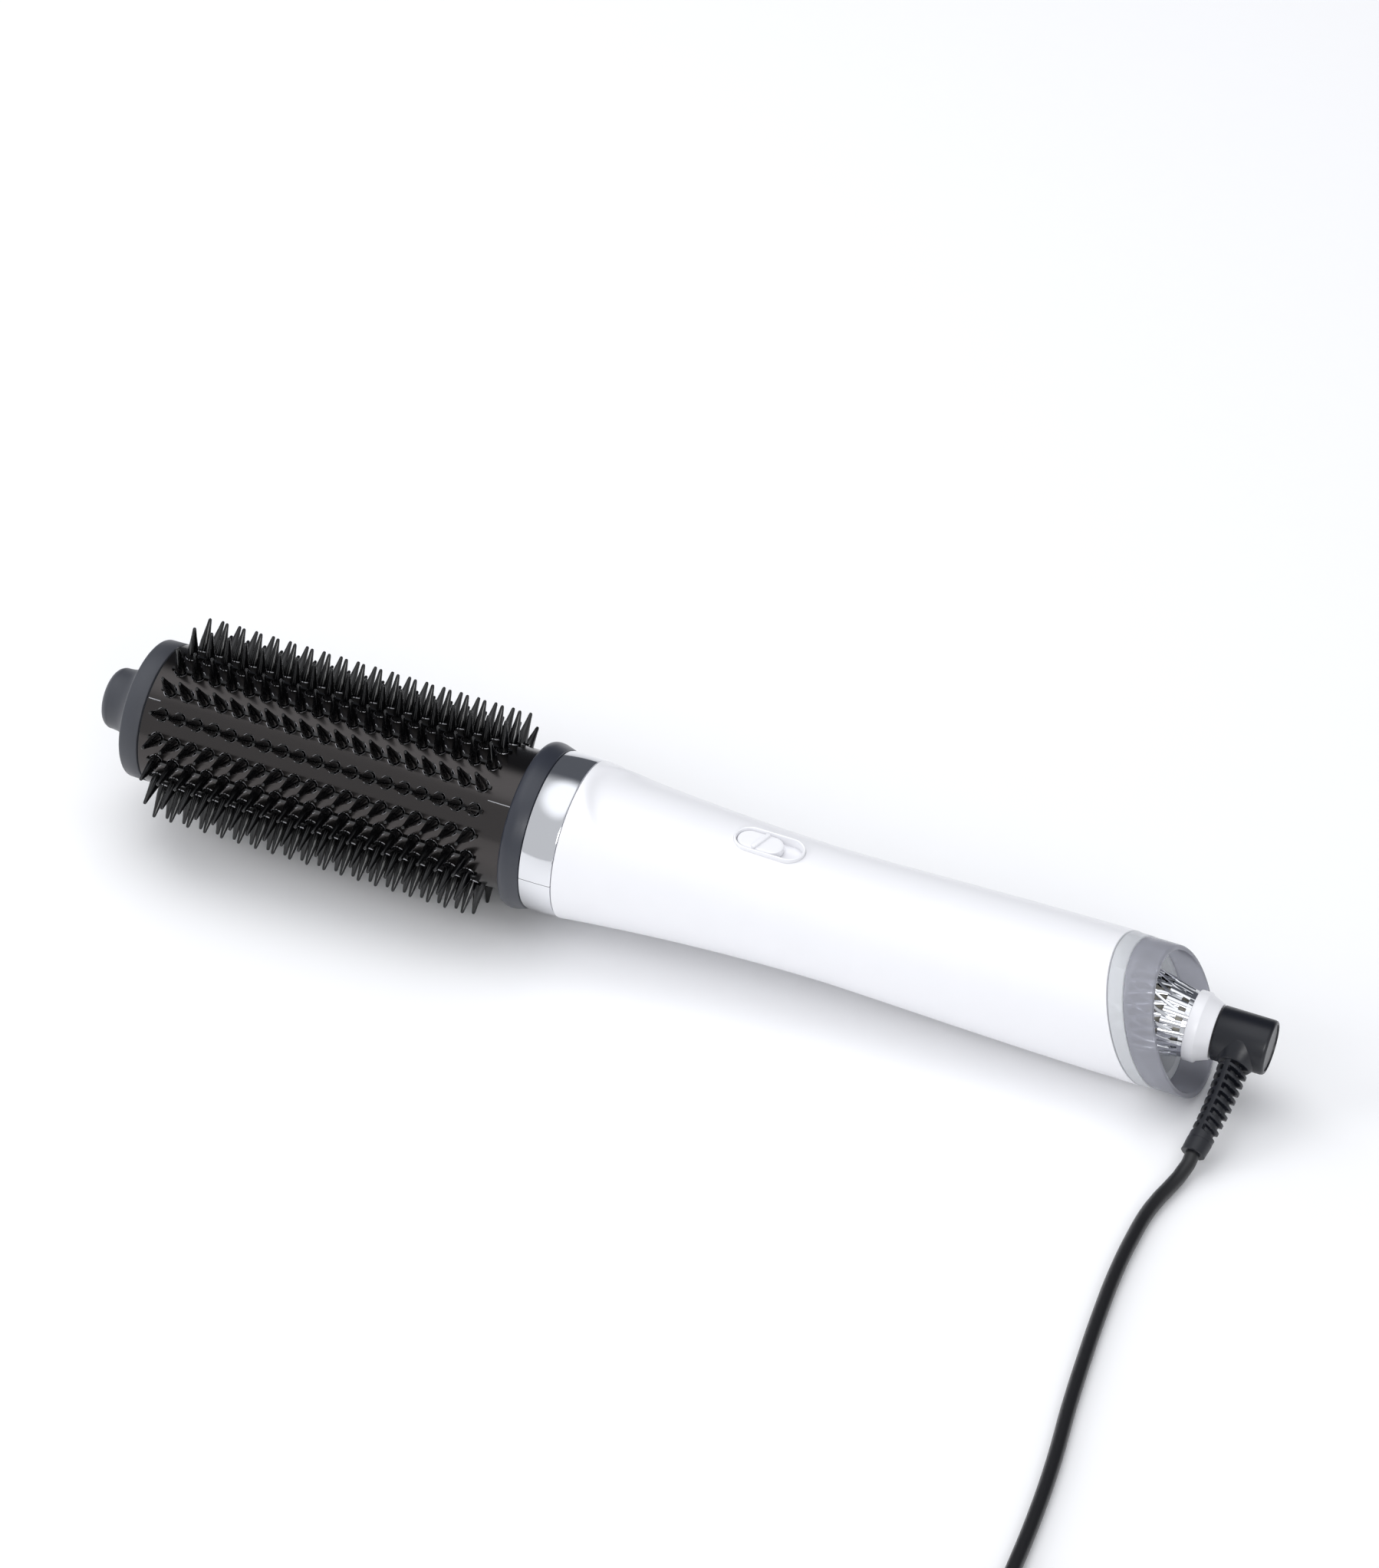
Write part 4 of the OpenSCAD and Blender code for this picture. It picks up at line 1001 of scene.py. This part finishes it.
class BRUSH_OT_swivel(Operator):
    """Makes the black elbow with its neck and the boss of the strain relief"""

    bl_idname = "brush.swivel"
    bl_label = "Elbow"

    def execute(self, context):
        elbow = [(ELBOW_X, 0.0), (ELBOW_X, 8.2), (ELBOW_X + 0.15, 8.5), (ELBOW_X + 0.5, 8.7),
                 (ELBOW_X + 16.0, 8.7), (ELBOW_X + 16.7, 8.55), (ELBOW_X + 17.1, 8.15), (ELBOW_X + 17.2, 7.7),
                 (ELBOW_X + 17.15, 7.45), (ELBOW_X + 16.8, 7.35), (ELBOW_X + 16.75, 0.0)]
        neck = [(PLATE_X - 10, 0.0), (PLATE_X - 10, 4.0), (PLATE_X - 3, 4.0), (PLATE_X - 3, 7.2),
                (PLATE_X - 0.3, 7.2), (PLATE_X - 0.3, 6.0), (ELBOW_X + 0.5, 6.0), (ELBOW_X + 0.5, 0.0)]
        boss = eased([(4.0, 7.8), (6.4, 6.9), (7.8, 6.2), (8.7, 5.7), (9.3, 5.3), (9.5, 4.9)], 4)
        boss = [(3.0, 0.0), (3.0, 7.8), *boss, (9.4, 4.0), (9.4, 0.0)]
        mesh = joined("elbow", lathe("elbow", elbow, 128, closed=False), lathe("neck", neck, 64, closed=False),
                      lathe("boss", boss, 96, closed=False, matrix=RELIEF_FRAME))
        axis_piece("elbow", mesh, "elbow_black", ["swivel_elbow"], "swivel", angle=42.0)
        return {"FINISHED"}


class BRUSH_PT_panel(Panel):
    """Lists the brush's sizes, colours and pieces"""

    bl_label = "Hot Air Brush"
    bl_idname = "BRUSH_PT_panel"
    bl_space_type = "VIEW_3D"
    bl_region_type = "UI"
    bl_category = "Hot Air Brush"

    def draw(self, context):
        for group in (context.scene.brush_sizes, context.scene.brush_colours):
            for name in group.__annotations__:
                self.layout.prop(group, name)
        for step in STEPS:
            self.layout.operator(step.bl_idname)


STEPS = (
    BRUSH_OT_finishes, BRUSH_OT_studio, BRUSH_OT_cord, BRUSH_OT_pins, BRUSH_OT_front, BRUSH_OT_handle,
    BRUSH_OT_intake, BRUSH_OT_swivel)
CLASSES = (BrushSizes, BrushColours, *STEPS, BRUSH_PT_panel)


def register():
    for cls in CLASSES:
        bpy.utils.register_class(cls)
    bpy.types.Scene.brush_sizes = PointerProperty(type=BrushSizes)
    bpy.types.Scene.brush_colours = PointerProperty(type=BrushColours)


def unregister():
    del bpy.types.Scene.brush_colours
    del bpy.types.Scene.brush_sizes
    for cls in reversed(CLASSES):
        bpy.utils.unregister_class(cls)


def main():
    register()
    for step in STEPS:
        group, name = step.bl_idname.split(".")
        getattr(getattr(bpy.ops, group), name)()


if __name__ == "__main__":
    main()
